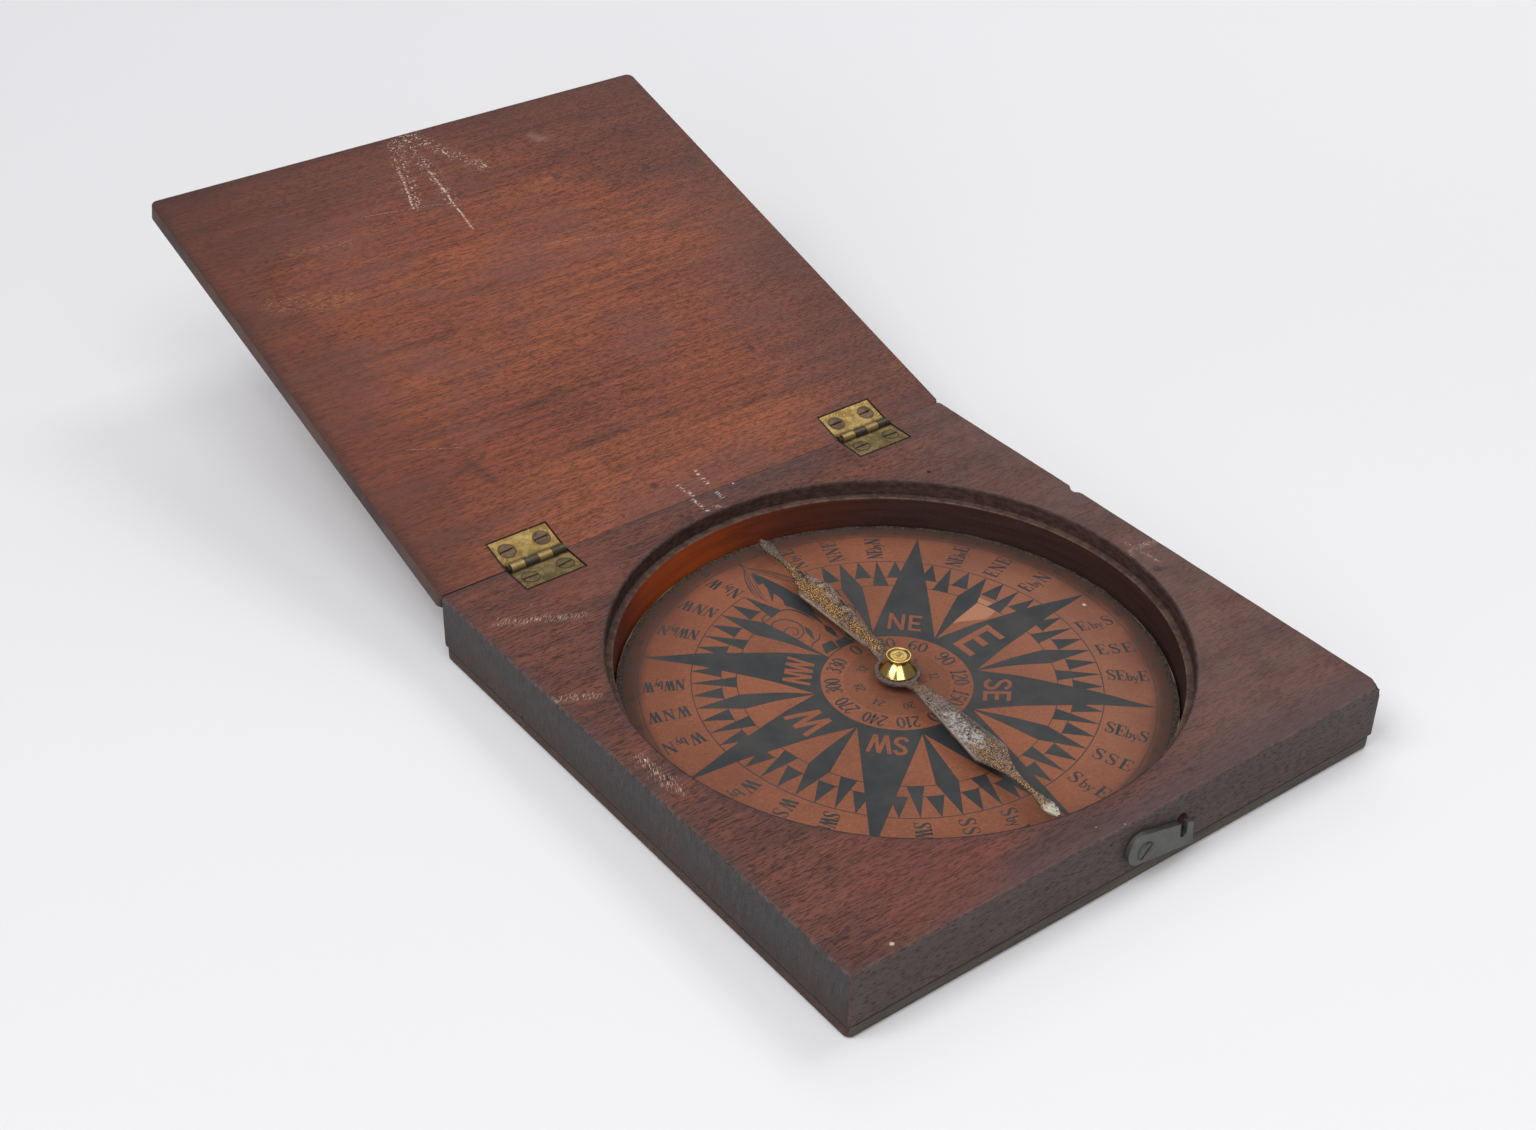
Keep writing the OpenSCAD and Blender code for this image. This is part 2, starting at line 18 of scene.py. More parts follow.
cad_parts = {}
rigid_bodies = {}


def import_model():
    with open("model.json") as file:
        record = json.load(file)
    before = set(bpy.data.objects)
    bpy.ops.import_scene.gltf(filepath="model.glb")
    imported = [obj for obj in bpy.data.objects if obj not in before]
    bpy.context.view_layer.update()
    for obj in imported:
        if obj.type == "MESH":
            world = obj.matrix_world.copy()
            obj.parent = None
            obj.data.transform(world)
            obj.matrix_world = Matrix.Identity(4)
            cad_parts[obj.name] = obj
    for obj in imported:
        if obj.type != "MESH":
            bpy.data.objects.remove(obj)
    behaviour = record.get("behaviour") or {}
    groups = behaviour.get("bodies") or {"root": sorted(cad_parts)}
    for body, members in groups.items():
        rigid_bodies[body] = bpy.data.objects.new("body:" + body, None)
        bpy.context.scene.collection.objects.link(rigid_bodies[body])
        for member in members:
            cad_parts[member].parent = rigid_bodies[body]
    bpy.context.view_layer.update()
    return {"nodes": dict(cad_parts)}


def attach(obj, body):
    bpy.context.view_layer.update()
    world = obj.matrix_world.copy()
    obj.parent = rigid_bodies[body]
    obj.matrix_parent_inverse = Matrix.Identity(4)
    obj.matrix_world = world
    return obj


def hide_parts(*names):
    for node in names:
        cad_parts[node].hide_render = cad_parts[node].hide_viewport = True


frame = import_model()
nodes = frame["nodes"]

# %% [markdown]
# ## Sizes
# These are the sizes of the real object in millimetres, measured from the middle of the case's
# underside. X runs along the hinges, the latch faces -Y, and Z is up.

# %% Sizes
MM = 0.001
CASE_W, CASE_D, CASE_H = 152.0, 151.0, 17.7
BOTTOM_T = 3.9
WELL = np.array([-0.6, 0.2])
BORE_R, REBATE_R, REBATE_DEPTH = 64.8, 66.5, 3.9
LEDGE_Z = CASE_H - REBATE_DEPTH
CARD_TOP = 5.8
AXIS_Y, AXIS_Z = 75.2, 17.75
LID_T, LID_LOW, LID_OPEN = 4.75, 17.8, 163.3
LID_FRONT, LID_BACK = -75.0, 75.5
HINGE_X = 50.0
LEAF_W, LEAF_LEN, LEAF_T = 16.0, 8.9, 0.9
print("well radius", BORE_R, "mm, lid opened by", LID_OPEN, "degrees")

# %% [markdown]
# ## The camera
# A normal lens looks down at the case from its front left corner. The camera is given by its place,
# the point that it aims at, and a small roll about its own line of sight.

# %% Camera
CAMERA_AT = Vector((-0.274389, -0.301724, 0.320433))
CAMERA_AIM = Vector((-0.006788, 0.041275, 0.0177))
CAMERA_ROLL = math.radians(1.2988)
camera_data = bpy.data.cameras.new("photo_camera")
camera_data.sensor_fit = "HORIZONTAL"
camera_data.sensor_width = 36.0
camera_data.lens = 52.4813
camera_data.clip_start = 0.01
camera = bpy.data.objects.new("photo_camera", camera_data)
bpy.context.scene.collection.objects.link(camera)
facing = (CAMERA_AIM - CAMERA_AT).to_track_quat("-Z", "Y").to_matrix().to_4x4()
camera.matrix_world = Matrix.Translation(CAMERA_AT) @ facing @ Matrix.Rotation(CAMERA_ROLL, 4, "Z")
bpy.context.scene.camera = camera
print("camera is", round((CAMERA_AIM - CAMERA_AT).length, 3), "m from what it aims at")

# %% [markdown]
# ## Shader maths as expressions
# A material is a graph of nodes. Writing the graph as plain maths keeps it readable, so a small class
# wraps a socket and turns + - * / and ** into Math nodes. Every other node comes from one method.

# %% Wires and finishes
class Wire:
    """A number or vector that comes out of a node. Its operators add Math nodes behind it."""

    def __init__(self, finish, socket):
        self.finish, self.socket = finish, socket

    def maths(self, operation, first, second=0.0):
        return self.finish.node("ShaderNodeMath", {0: first, 1: second}, operation=operation)

    def __abs__(self):
        return self.maths("ABSOLUTE", self)

    def max(self, other):
        return self.maths("MAXIMUM", self, other)

    def min(self, other):
        return self.maths("MINIMUM", self, other)

    def step(self, low, high):
        """0 below low and 1 above high, with a smooth rise between them. A high below low falls."""
        return self.finish.node("ShaderNodeMapRange",
                                {"Value": self, "From Min": low, "From Max": high},
                                interpolation_type="SMOOTHSTEP")


# Every operator, and its reflected form for a number on the left
for sign, operation in (("add", "ADD"), ("sub", "SUBTRACT"), ("mul", "MULTIPLY"), ("truediv", "DIVIDE"),
                        ("pow", "POWER")):
    setattr(Wire, f"__{sign}__", lambda self, other, o=operation: self.maths(o, self, other))
    setattr(Wire, f"__r{sign}__", lambda self, other, o=operation: self.maths(o, other, self))


def distance(across, up):
    """The length of a line from its two parts: the root of the sum of their squares."""
    return (across * across + up * up) ** 0.5


def linear(red, green, blue):
    """A screen colour from 0 to 255 as the linear colour that a shader takes."""
    screen = np.array([red, green, blue]) / 255.0
    light = np.where(screen <= 0.04045, screen / 12.92, ((screen + 0.055) / 1.055) ** 2.4)
    return (*light.tolist(), 1.0)


class Finish:
    """One material: a Principled shader with its nodes, and the tone that its layers have built up."""

    def __init__(self, name, **steady):
        self.material = bpy.data.materials.new(name)
        self.material.use_nodes = True
        self.tree = self.material.node_tree
        self.shader = next(n for n in self.tree.nodes if n.type == "BSDF_PRINCIPLED")
        for socket, value in steady.items():
            self.shader.inputs[socket.replace("_", " ")].default_value = value
        self.place = self.node("ShaderNodeTexCoord", {}, "Object")

    def node(self, kind, sockets, out=0, **settings):
        """Adds a node: its settings are set first, then its sockets' values or links."""
        made = self.tree.nodes.new(kind)
        for key, value in settings.items():
            setattr(made, key, value)
        for key, value in sockets.items():
            self.feed(made.inputs[key], value)
        return Wire(self, made.outputs[out])

    def feed(self, socket, value):
        if isinstance(value, Wire):
            self.tree.links.new(value.socket, socket)
        else:
            socket.default_value = value

    def set(self, socket, value):
        self.feed(self.shader.inputs[socket], value)

    def mix(self, share, *colours):
        """A colour between two colours, each a wire or a screen colour, by a share from 0 to 1."""
        first, second = (linear(*c) if isinstance(c, tuple) else c for c in colours)
        return self.node("ShaderNodeMix", {0: share, 6: first, 7: second}, 2, data_type="RGBA")

    def over(self, tone, *layers):
        """A tone with layers laid over it in turn. Each is a share and a colour."""
        for share, colour in layers:
            tone = self.mix(share, tone, colour)
        return tone

    def lay(self, share, colour):
        """Lays a colour over the finish's own tone."""
        self.tone = self.mix(share, self.tone, colour)

    def settle(self, roughness):
        """Joins the tone and the roughness to the shader."""
        self.set("Base Color", self.tone)
        self.set("Roughness", roughness)

    def millimetres(self, place=None):
        """The X, Y and Z of a place in millimetres."""
        return [self.node("ShaderNodeSeparateXYZ", {0: place or self.place}, i) * 1000.0
                for i in range(3)]

    def mapped(self, offset, turns):
        """The place on the piece, turned about each axis and then moved."""
        return self.node("ShaderNodeMapping", {"Vector": self.place, "Location": offset,
                                               "Rotation": turns})

    def moved(self, scale, offset=(0, 0, 0), turn=0.0):
        """The place, turned about Z, moved and then scaled, axis by axis or all alike."""
        turned = self.mapped(offset, (0, 0, turn))
        scale = scale if isinstance(scale, tuple) else (scale, scale, scale)
        return self.node("ShaderNodeVectorMath", {0: turned, 1: scale}, operation="MULTIPLY")

    def noise(self, scale, detail=3.0, rough=0.5, distortion=0.0, shift=(0, 0, 0), turn=0.0,
              place=None):
        """Cloudy noise from 0 to 1. A larger scale is finer, and unequal ones stretch it."""
        return self.node("ShaderNodeTexNoise", {"Vector": place or self.moved(scale, shift, turn),
                                                "Scale": 1.0, "Detail": detail, "Roughness": rough,
                                                "Distortion": distortion})

    def cells(self, scale):
        """The distance to the middle of the nearest of many scattered cells."""
        return self.node("ShaderNodeTexVoronoi", {"Vector": self.moved(scale), "Scale": 1.0})

    def bump(self, height, strength, distance):
        self.set("Normal", self.node("ShaderNodeBump", {"Height": height, "Strength": strength,
                                                        "Distance": distance}))


print("a mid grey is", round(linear(128, 128, 128)[0], 3), "in linear light")

# %% [markdown]
# ## Floor and lights
# The object stands on pale paper in soft studio light. Its shadows are weak on every side, so six large
# panels stand all round it and a dim room fills in. The paper is painted a little greyer near by and to
# the left, as painted shade where the light falls off.

# %% Floor
FLOOR_HALF = 6.0
floor_mesh = bpy.data.meshes.new("floor")
floor_mesh.from_pydata([(-FLOOR_HALF, -FLOOR_HALF, 0), (FLOOR_HALF, -FLOOR_HALF, 0),
                        (FLOOR_HALF, FLOOR_HALF, 0), (-FLOOR_HALF, FLOOR_HALF, 0)], [], [(0, 1, 2, 3)])
floor = bpy.data.objects.new("floor", floor_mesh)
bpy.context.scene.collection.objects.link(floor)
floor.location.z = -0.0001
paper_sweep = Finish("paper_sweep", Roughness=0.9)
floor_x, floor_y, _ = paper_sweep.millimetres()
# Painted shade: the paper's colour is greyer to the left and near by, and brighter to the right and far
# off.
to_the_right = (floor_x * 0.74 - floor_y * 0.67).step(-400.0, 300.0)
paper_tone = paper_sweep.mix(to_the_right, (221, 221, 224), (233, 233, 235))
far_tone = paper_sweep.mix(to_the_right, (229, 229, 233), (243, 243, 246))
paper_tone = paper_sweep.mix((floor_x * 0.67 + floor_y * 0.74).step(150.0, 550.0), paper_tone, far_tone)
paper_sweep.set("Base Color", paper_sweep.mix(paper_sweep.noise(3.0) * 0.2, paper_tone,
                                              (240, 240, 242)))
floor_mesh.materials.append(paper_sweep.material)
print("floor is", 2 * FLOOR_HALF, "m across")

# %% Lights
LIGHT_AIM = Vector((0.0, 0.03, 0.0))


def panel(name, azimuth, elevation, size, power, distance=2.2):
    """A light panel turned to face the object, placed by its direction in degrees: azimuth from +X
    towards +Y, and elevation above the floor."""
    data = bpy.data.lights.new(name, "AREA")
    data.shape = "RECTANGLE"
    data.size, data.size_y = size
    data.energy = power
    light = bpy.data.objects.new(name, data)
    bpy.context.scene.collection.objects.link(light)
    turn, lift = math.radians(azimuth), math.radians(elevation)
    towards = Vector((math.cos(turn) * math.cos(lift), math.sin(turn) * math.cos(lift), math.sin(lift)))
    light.location = LIGHT_AIM + distance * towards
    light.rotation_euler = (-towards).to_track_quat("-Z", "Y").to_euler()
    return light


panel("left_panel", 180, 56, (1.2, 1.1), 24.0)
panel("front_panel", 254, 53, (1.3, 1.2), 14.5)
panel("low_fill", 215, 22, (1.7, 0.8), 10.0)
panel("right_panel", 0, 58, (0.8, 0.8), 8.5)
panel("back_panel", 48, 44, (1.5, 1.0), 5.0)
panel("top_panel", 135, 82, (1.7, 1.7), 3.5)
world = bpy.data.worlds.new("studio")
bpy.context.scene.world = world
world.use_nodes = True
world.node_tree.nodes["Background"].inputs["Color"].default_value = (0.985, 0.985, 1.0, 1.0)
world.node_tree.nodes["Background"].inputs["Strength"].default_value = 0.18
bpy.context.scene.view_settings.view_transform = "Standard"

# %% [markdown]
# ## Meshes from arrays
# A shape is a function of two parameters, worked out on a whole grid at once. These helpers turn a
# grid of points into quads, check by its signed volume that its faces point outwards, and put it into
# the scene on the body that it moves with.

# %% Grids into meshes
def grid_quads(rows, columns, wrap_rows=False, wrap_columns=False):
    """Index quads of a grid of points stored row by row. A wrapped side joins its last line to its
    first."""
    i, j = np.meshgrid(np.arange(rows if wrap_rows else rows - 1),
                       np.arange(columns if wrap_columns else columns - 1), indexing="ij")
    below, right = (i + 1) % rows, (j + 1) % columns
    return np.stack([i * columns + j, i * columns + right, below * columns + right,
                     below * columns + j], axis=-1).reshape(-1, 4)


def signed_volume(points, quads):
    """Six times the volume inside closed quads: the sum of the corner triple products of each half."""
    a, b, c, d = (points[quads[:, k]] for k in range(4))
    return float(np.sum(a * np.cross(b, c)) + np.sum(a * np.cross(c, d)))


def closed(points, quads, caps=()):
    """A closed solid as (points, faces). Caps are whole rows of points that close an end. If the signed
    volume comes out negative, every face is turned round, so that all of them look outwards."""
    volume = signed_volume(points, quads)
    faces = quads.tolist()
    for cap in caps:
        cap = np.asarray(cap)
        volume += signed_volume(points, np.stack([np.full(len(cap) - 2, cap[0]), cap[1:-1], cap[2:],
                                                  cap[2:]], axis=1))
        faces.append(cap.tolist())
    return points, [face[::-1] for face in faces] if volume < 0 else faces


def tube(grid):
    """A closed solid from rows of points that each go once round it. The first and last row are its
    ends."""
    rows, columns = grid.shape[:2]
    last = np.arange(columns)
    return closed(grid.reshape(-1, 3), grid_quads(rows, columns, wrap_columns=True),
                  [last[::-1], last + (rows - 1) * columns])


def make_mesh(name, *solids):
    """One Blender mesh in metres from closed solids in millimetres."""
    points, faces, start = [], [], 0
    for solid_points, solid_faces in solids:
        points.append(solid_points)
        faces += [[corner + start for corner in face] for face in solid_faces]
        start += len(solid_points)
    mesh = bpy.data.meshes.new(name)
    mesh.from_pydata((np.concatenate(points) * MM).tolist(), [], faces)
    mesh.validate()
    return mesh


def add_piece(name, mesh, body, finish, stands_for=(), smooth_below=35.0):
    """Puts a mesh into the scene on its body, with smooth shading between faces that meet gently."""
    piece = bpy.data.objects.new(name, mesh)
    bpy.context.scene.collection.objects.link(piece)
    mesh.materials.clear()
    mesh.materials.append(finish.material)
    mesh.shade_smooth()
    mesh.set_sharp_from_angle(angle=math.radians(smooth_below))
    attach(piece, body)
    if stands_for:
        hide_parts(*stands_for)
    print(name, len(mesh.polygons), "faces")
    return piece


def outline(width, depth, corner, per_side, per_corner):
    """Points and outward normals, anticlockwise, of a rectangle with round corners: four quarter
    arcs, each followed by the straight run to the next."""
    arc = np.linspace(0, np.pi / 2, per_corner, endpoint=True)
    points, normals = [], []
    for quarter in range(4):
        turn = quarter * np.pi / 2
        sx, sy = [(1, 1), (-1, 1), (-1, -1), (1, -1)][quarter]
        centre = np.array([sx * (width / 2 - corner), sy * (depth / 2 - corner)])
        out = np.stack([np.cos(arc + turn), np.sin(arc + turn)], axis=1)
        points.append(centre + corner * out)
        normals.append(out)
        nx, ny = [(-1, 1), (-1, -1), (1, -1), (1, 1)][quarter]
        after = np.array([nx * (width / 2 - corner), ny * (depth / 2 - corner)]) + corner * out[-1]
        run = np.linspace(0, 1, per_side + 2)[1:-1, None]
        points.append(points[-1][-1] * (1 - run) + after * run)
        normals.append(np.repeat(out[-1:], per_side, axis=0))
    return np.concatenate(points), np.concatenate(normals)


def wander(count, rng, waves=9):
    """A closed wavy line around zero, about 1 high: a sum of sines with random strengths and starts."""
    angle = np.linspace(0, 2 * np.pi, count, endpoint=False)
    total = np.zeros(count)
    for k in range(1, waves + 1):
        wave = int(rng.integers(1, 6)) * k
        total += rng.normal() / np.sqrt(waves) * np.sin(wave * angle + rng.uniform(0, 2 * np.pi))
    return total


print("an outline of", len(outline(CASE_W, CASE_D, 1.2, 90, 8)[0]), "points goes round the case")

# %% [markdown]
# ## Mahogany
# Mahogany shows something at every scale: broad bands and flames that drift from red to purple brown,
# fine streaks, finer hairs, and short dark pores, open vessels a tenth of a millimetre wide. All of
# them run along X, so one stretched solid pattern also gives the right dots on the end grain.

# %% Mahogany
PORE_BROWN = (38, 24, 24)


def grain(finish, seed):
    """Streaks, bands, clouds, flames, hairs and pores of one board: noise from 0 to 1 that is stretched
    along X."""
    shift = (seed * 0.37, seed * 0.11, seed * 0.23)
    streaks = finish.noise((28, 620, 620), 4, 0.62, 0.25, shift=shift)
    broad = finish.noise((7, 60, 60), 3, 0.55, 0.6, shift=shift)
    clouds = finish.noise((14, 20, 20), 2.5, 0.5, 0.3, shift=shift)
    flames = finish.noise((16, 210, 210), 4, 0.6, 0.4, shift=shift)
    hairs = finish.noise((170, 1700, 1700), 3, 0.6, shift=shift)
    pores = finish.noise((560, 3300, 3300), 1.5, 0.5, shift=shift)
    return streaks, broad, clouds, flames, hairs, pores


def speck(x, y, cx, cy, radius, ragged):
    """1 inside a ragged spot of that radius in millimetres about a point, and 0 outside it."""
    return (distance(x - cx, y - cy) + ragged * radius).step(radius * 1.25, radius * 0.8)


def scratch(x, y, start, end, width, ragged):
    """1 along a straight scratch between two points: the distance to the segment, made ragged."""
    (ax, ay), (bx, by) = start, end
    length = math.hypot(bx - ax, by - ay)
    ux, uy = (bx - ax) / length, (by - ay) / length
    along = (x - ax) * ux + (y - ay) * uy
    across = abs((x - ax) * uy - (y - ay) * ux)
    past = (0 - along).max(along - length).max(0)
    return (across + past + ragged * width).step(width * 1.2, width * 0.5)


def mahogany(name, seed, colours, pore_share):
    """The wood of one board from its dark, middle and light browns. The open pores are darker, duller
    and a hair deeper than the rest. Returns the finish, its streaks and its pores."""
    dark, middle, light = colours
    wood = Finish(name, Specular_IOR_Level=0.3)
    streaks, broad, clouds, flames, hairs, pores = grain(wood, seed)
    wood.tone = wood.mix(broad.step(0.3, 0.7), middle, light)
    wood.lay(streaks.step(0.35, 0.75) * 0.5, dark)
    wood.lay(clouds.step(0.45, 0.75) * 0.3, dark)
    wood.lay((flames * 0.7 + clouds * 0.3).step(0.5, 0.64) * 0.38, dark)
    wood.lay(hairs.step(0.5, 0.62) * 0.42, dark)
    wood.lay(hairs.step(0.44, 0.34) * 0.3, light)
    open_pores = (pores.step(0.53, 0.61) * (clouds * 0.8 + 0.55)).min(1)
    wood.bump(streaks * 0.35 - open_pores * 0.6, 0.5, 0.00012)
    wood.lay(open_pores * pore_share, PORE_BROWN)
    return wood, streaks, open_pores


print("mahogany ready")

# %% [markdown]
# ## The wood of the case
# A hundred years of handling shows where hands and dust reach. The upright faces are greyed, and the
# left one is a darker grey green, part painted shade. The arris is rubbed, the wall of the well kept
# its red polish, painted bright where lit and dark brown where shaded, and the rebate above it is black
# with old glazing dirt. The top greys to the right as a painted sheen, and the gaps round the hinge
# leaves and under the lid are painted as shade. Each of these is a mask worked out from the place on
# the piece, and each dent or scuff of the photograph is one more small mask at its own place in
# millimetres.

# %% Case wood
CASE_BROWNS = ((54, 34, 33), (103, 61, 51), (120, 69, 53))
PALE_SCUFF = (176, 150, 136)


def scuffed(wood, x, y, start, end, width, lean):
    """A band of fine slanted scuffs: a wide scratch mask broken up by a noise of thin leaning lines."""
    lines = wood.noise((5200, 500, 900), 2, 0.6, turn=lean)
    ragged = wood.noise(420, 2)
    return scratch(x, y, start, end, width, ragged) * lines.step(0.53, 0.62)


def hatched(wood, x, y, start, end):
    """A column of short strokes along X: a scratch mask 1.7 mm wide times a noise of thin dashes."""
    dashes = wood.noise((700, 3600, 1200), 1, 0.5)
    return scratch(x, y, start, end, 1.7, dashes) * dashes.step(0.55, 0.6)


def recess_shade(x, s):
    """1 in a band of painted shade round a hinge leaf, in the gap of its recess: a rounded band just
    outside its outline. s is the distance from the hinge line."""
    past_end, past_side = s - LEAF_LEN, abs(abs(x) - HINGE_X) - LEAF_W / 2
    outside = past_end.max(past_side)
    return outside.step(-0.1, 0) * outside.step(0.75, 0.45) * s.step(-0.2, 0)


def case_wood():
    wood, streaks, open_pores = mahogany("case_wood", 3, CASE_BROWNS, 0.64)
    x, y, z = wood.millimetres()
    ragged = wood.noise(700, 3, 0.6)
    dust = wood.noise((55, 70, 60), 4, 0.6)
    away = distance(x - WELL[0], y - WELL[1])
    # Dirt beside the rebate and along the outer edges
    margin = (76 - abs(x)).min(75.5 - abs(y))
    wood.lay((away + dust * 6).step(73, 68.5) * 0.5, (66, 50, 50))
    wood.lay((margin + dust * 9).step(9, 3) * 0.5, (72, 58, 58))
    top = z.step(16.9, 17.3)
    behind = speck(x, y, -46, 66, 16, dust * 0.6)
    wood.lay(top * behind * 0.4, (118, 68, 54))
    wood.lay(top * scratch(x, y, (0, 72), (34, 72), 9, dust) * 0.35, (70, 58, 58))
    # Painted sheen: the top greys towards the right.
    painted_sheen = (x - y * 0.25 + dust * 30).step(34, 76) * 0.55
    wood.lay(top * painted_sheen, wood.mix(dust.step(0.4, 0.65), (102, 80, 75), (82, 62, 59)))
    red_zone = speck(x, y, -44, -60, 26, dust * 0.6)
    wood.lay(top * red_zone * 0.14, (132, 56, 48))
    wood.lay(top * (y + dust * 8).step(-60, -70) * x.step(-60, -20) * 0.65, (78, 61, 60))
    smudge = scratch(x, y, (-30, -70), (-3, -71), 6, dust)
    wood.lay(top * smudge * 0.35, (54, 44, 42))
    for cx, cy, radius in ((67.5, -14, 1.9), (-69.6, 59.5, 0.7), (-60.8, 60.3, 0.5), (-9, -72, 0.7),
                           (20, -70.5, 1), (-10.4, 68.2, 2), (-2.6, 66.6, 0.8)):
        wood.lay(top * speck(x, y, cx, cy, radius, ragged) * 0.75, (50, 41, 42))
    # Painted shade: near black in the gap round each hinge leaf.
    wood.lay(top * recess_shade(x, AXIS_Y - y) * 0.85, (24, 17, 14))
    # Pale scuffs on the top
    for start, end, width, lean in (((-71, 58.5), (-52.9, 49.8), 3.2, 0.9),
                                    ((-75.4, 27.4), (-66.4, 23.4), 3, 0.9),
                                    ((-71.6, 0.8), (-71.1, -12.3), 4.6, 0.5),
                                    ((64.3, -5.2), (75.4, -5.2), 2.6, 0.3),
                                    ((-2, 69), (1.5, 63), 3, 0.2), ((69, -1.5), (70, -11.5), 1.6, 0.2)):
        wood.lay(top * scuffed(wood, x, y, start, end, width, lean) * 0.9, PALE_SCUFF)
    for start, end in (((-4.9, 74.8), (-4.6, 68.4)), ((2.1, 74.7), (1.8, 71.1))):
        wood.lay(top * hatched(wood, x, y, start, end), (220, 208, 194))
    for cx, cy, radius in ((-9, -72, 0.3), (-3.6, -74.8, 0.3), (-64.1, -73.2, 0.8), (69.3, -2.9, 0.35),
                           (69.6, -11, 0.3), (-71.1, -0.7, 0.4), (0.4, 64.1, 0.35), (-60.8, 60.3, 0.25),
                           (7.7, 74.8, 0.5)):
        wood.lay(top * speck(x, y, cx, cy, radius, ragged) * 0.8, (205, 190, 178))
    wood.lay(speck(x, y, 51.1, 50.3, 0.8, ragged) * 0.9, (26, 18, 16))
    for cx, cy, radius in ((76, -75, 3.4), (76.2, 23.2, 1.9)):
        wood.lay(speck(x, y, cx, cy, radius, ragged) * z.step(17.65, 17.5) * 0.85, (34, 22, 19))
    # The upright faces: greyed at the front, and a darker grey green at the left that is part painted
    # shade
    upright = margin.step(0.45, 0.1)
    front = y.step(-75, -75.4)
    left = x.step(-75.5, -75.9)
    mottle = wood.noise((900, 1500, 330), 4, 0.7)
    # The left face: a darker grey green, part its own colour and part painted shade, browner towards
    # the bottom.
    left_face_shade_grey = wood.mix(z.step(5, 13), (50, 45, 43), (56, 60, 62))
    side_tone = wood.over((84, 64, 60), (front, (80, 69, 68)), (left, left_face_shade_grey),
                          (dust.step(0.35, 0.7) * 0.45, (66, 54, 52)),
                          (streaks.step(0.4, 0.7) * 0.4, (54, 46, 45)),
                          (open_pores * (1 - left) * 0.6, (40, 30, 30)),
                          (left * mottle.step(0.48, 0.66) * 0.6, (36, 30, 27)),
                          (left * mottle.step(0.42, 0.3) * 0.4, (88, 80, 76)),
                          (left * speck(y, z, 6.9, 13.7, 0.45, ragged), (14, 10, 9)),
                          (left * speck(y, z, 4.9, 13.4, 0.45, ragged), (14, 10, 9)))
    wood.lay(upright * 0.88, side_tone)
    # The rubbed arris, lighter where the polish is gone
    arris = margin.step(0.9, 0.25) * z.step(16.6, 17.5) * (0.14 + left * 0.1)
    wood.lay(arris * ragged.step(0.42, 0.6), (132, 112, 104))
    # Painted shade: a near black line along the back edge, left of the left hinge, in the gap under the
    # lid.
    back_gap_shade = y.step(74.75, 75) * x.step(-50, -60)
    wood.lay(back_gap_shade * 0.8, (20, 14, 12))
    # The well: the wall's red polish, bright orange on the left as painted light, darker red at the far
    # left, red brown and then dark brown to the right as painted shade; a pale ledge edge and a dirty
    # rebate
    wall = away.step(65.05, 64.9) * z.step(LEDGE_Z - 0.05, LEDGE_Z - 0.2)
    layered = wood.noise((50, 50, 620), 3, 0.6).step(0.3, 0.75)
    lit_polish = wood.mix(layered * 0.5, (176, 82, 34), (134, 57, 28))
    half_shaded_red = wood.mix(layered, (92, 47, 34), (70, 36, 29))
    shaded_brown = wood.mix(layered, (60, 42, 37), (45, 31, 28))
    lit_polish = wood.mix((x + dust * 8).step(-22, -42) * 0.9, lit_polish, (100, 43, 31))
    wall_lit_and_shaded = wood.mix((x + dust * 22 - 11).step(-18, 20), lit_polish, half_shaded_red)
    wall_lit_and_shaded = wood.mix((x + dust * 18 - 9).step(18, 46), wall_lit_and_shaded, shaded_brown)
    wood.lay(wall * 0.95, wall_lit_and_shaded)
    rebate = away.step(67.2, 66.8) * (1 - wall)
    dirt = wood.noise((420, 420, 900), 4, 0.65)
    wood.lay(rebate * 0.9, wood.mix(dirt.step(0.36, 0.68), (42, 28, 26), (72, 53, 47)))
    lip = away.step(64.6, 64.85) * away.step(65.15, 65) * z.step(LEDGE_Z - 0.4, LEDGE_Z - 0.15)
    wood.lay(lip * dirt.step(0.3, 0.6) * 0.35, (128, 98, 82))
    ledge = rebate * away.step(66.6, 66.2)
    wood.lay(ledge * 0.5, wood.mix(dirt.step(0.4, 0.6), (84, 62, 54), (104, 84, 72)))
    wood.settle(0.47 + open_pores * 0.2 + upright * 0.14 - wall * 0.17 + rebate * 0.25)
    return wood


CASE_WOOD = case_wood()
print("case wood has", len(CASE_WOOD.tree.nodes), "nodes")

# %% [markdown]
# ## The wood of the lid
# The lid is the same mahogany, redder because it lay closed for most of its life. Its marks are
# measured on the closed lid, so its material first turns each place back about the hinge line.

# %% Lid wood
LID_BROWNS = ((64, 33, 27), (131, 66, 43), (148, 80, 49))


def turn_about_hinge(points, degrees):
    """Points turned about the hinge line: y and z relative to it go round by the sine and cosine."""
    angle = math.radians(degrees)
    y, z = points[..., 1] - AXIS_Y, points[..., 2] - AXIS_Z
    return np.stack([points[..., 0], AXIS_Y + y * math.cos(angle) - z * math.sin(angle),
                     AXIS_Z + y * math.sin(angle) + z * math.cos(angle)], axis=-1)


def closed_place(finish):
    """The place on a piece of the open lid, turned back to where it is on the closed lid."""
    location = (turn_about_hinge(np.zeros(3), LID_OPEN) * MM).tolist()
    return finish.mapped(location, (math.radians(LID_OPEN), 0.0, 0.0))


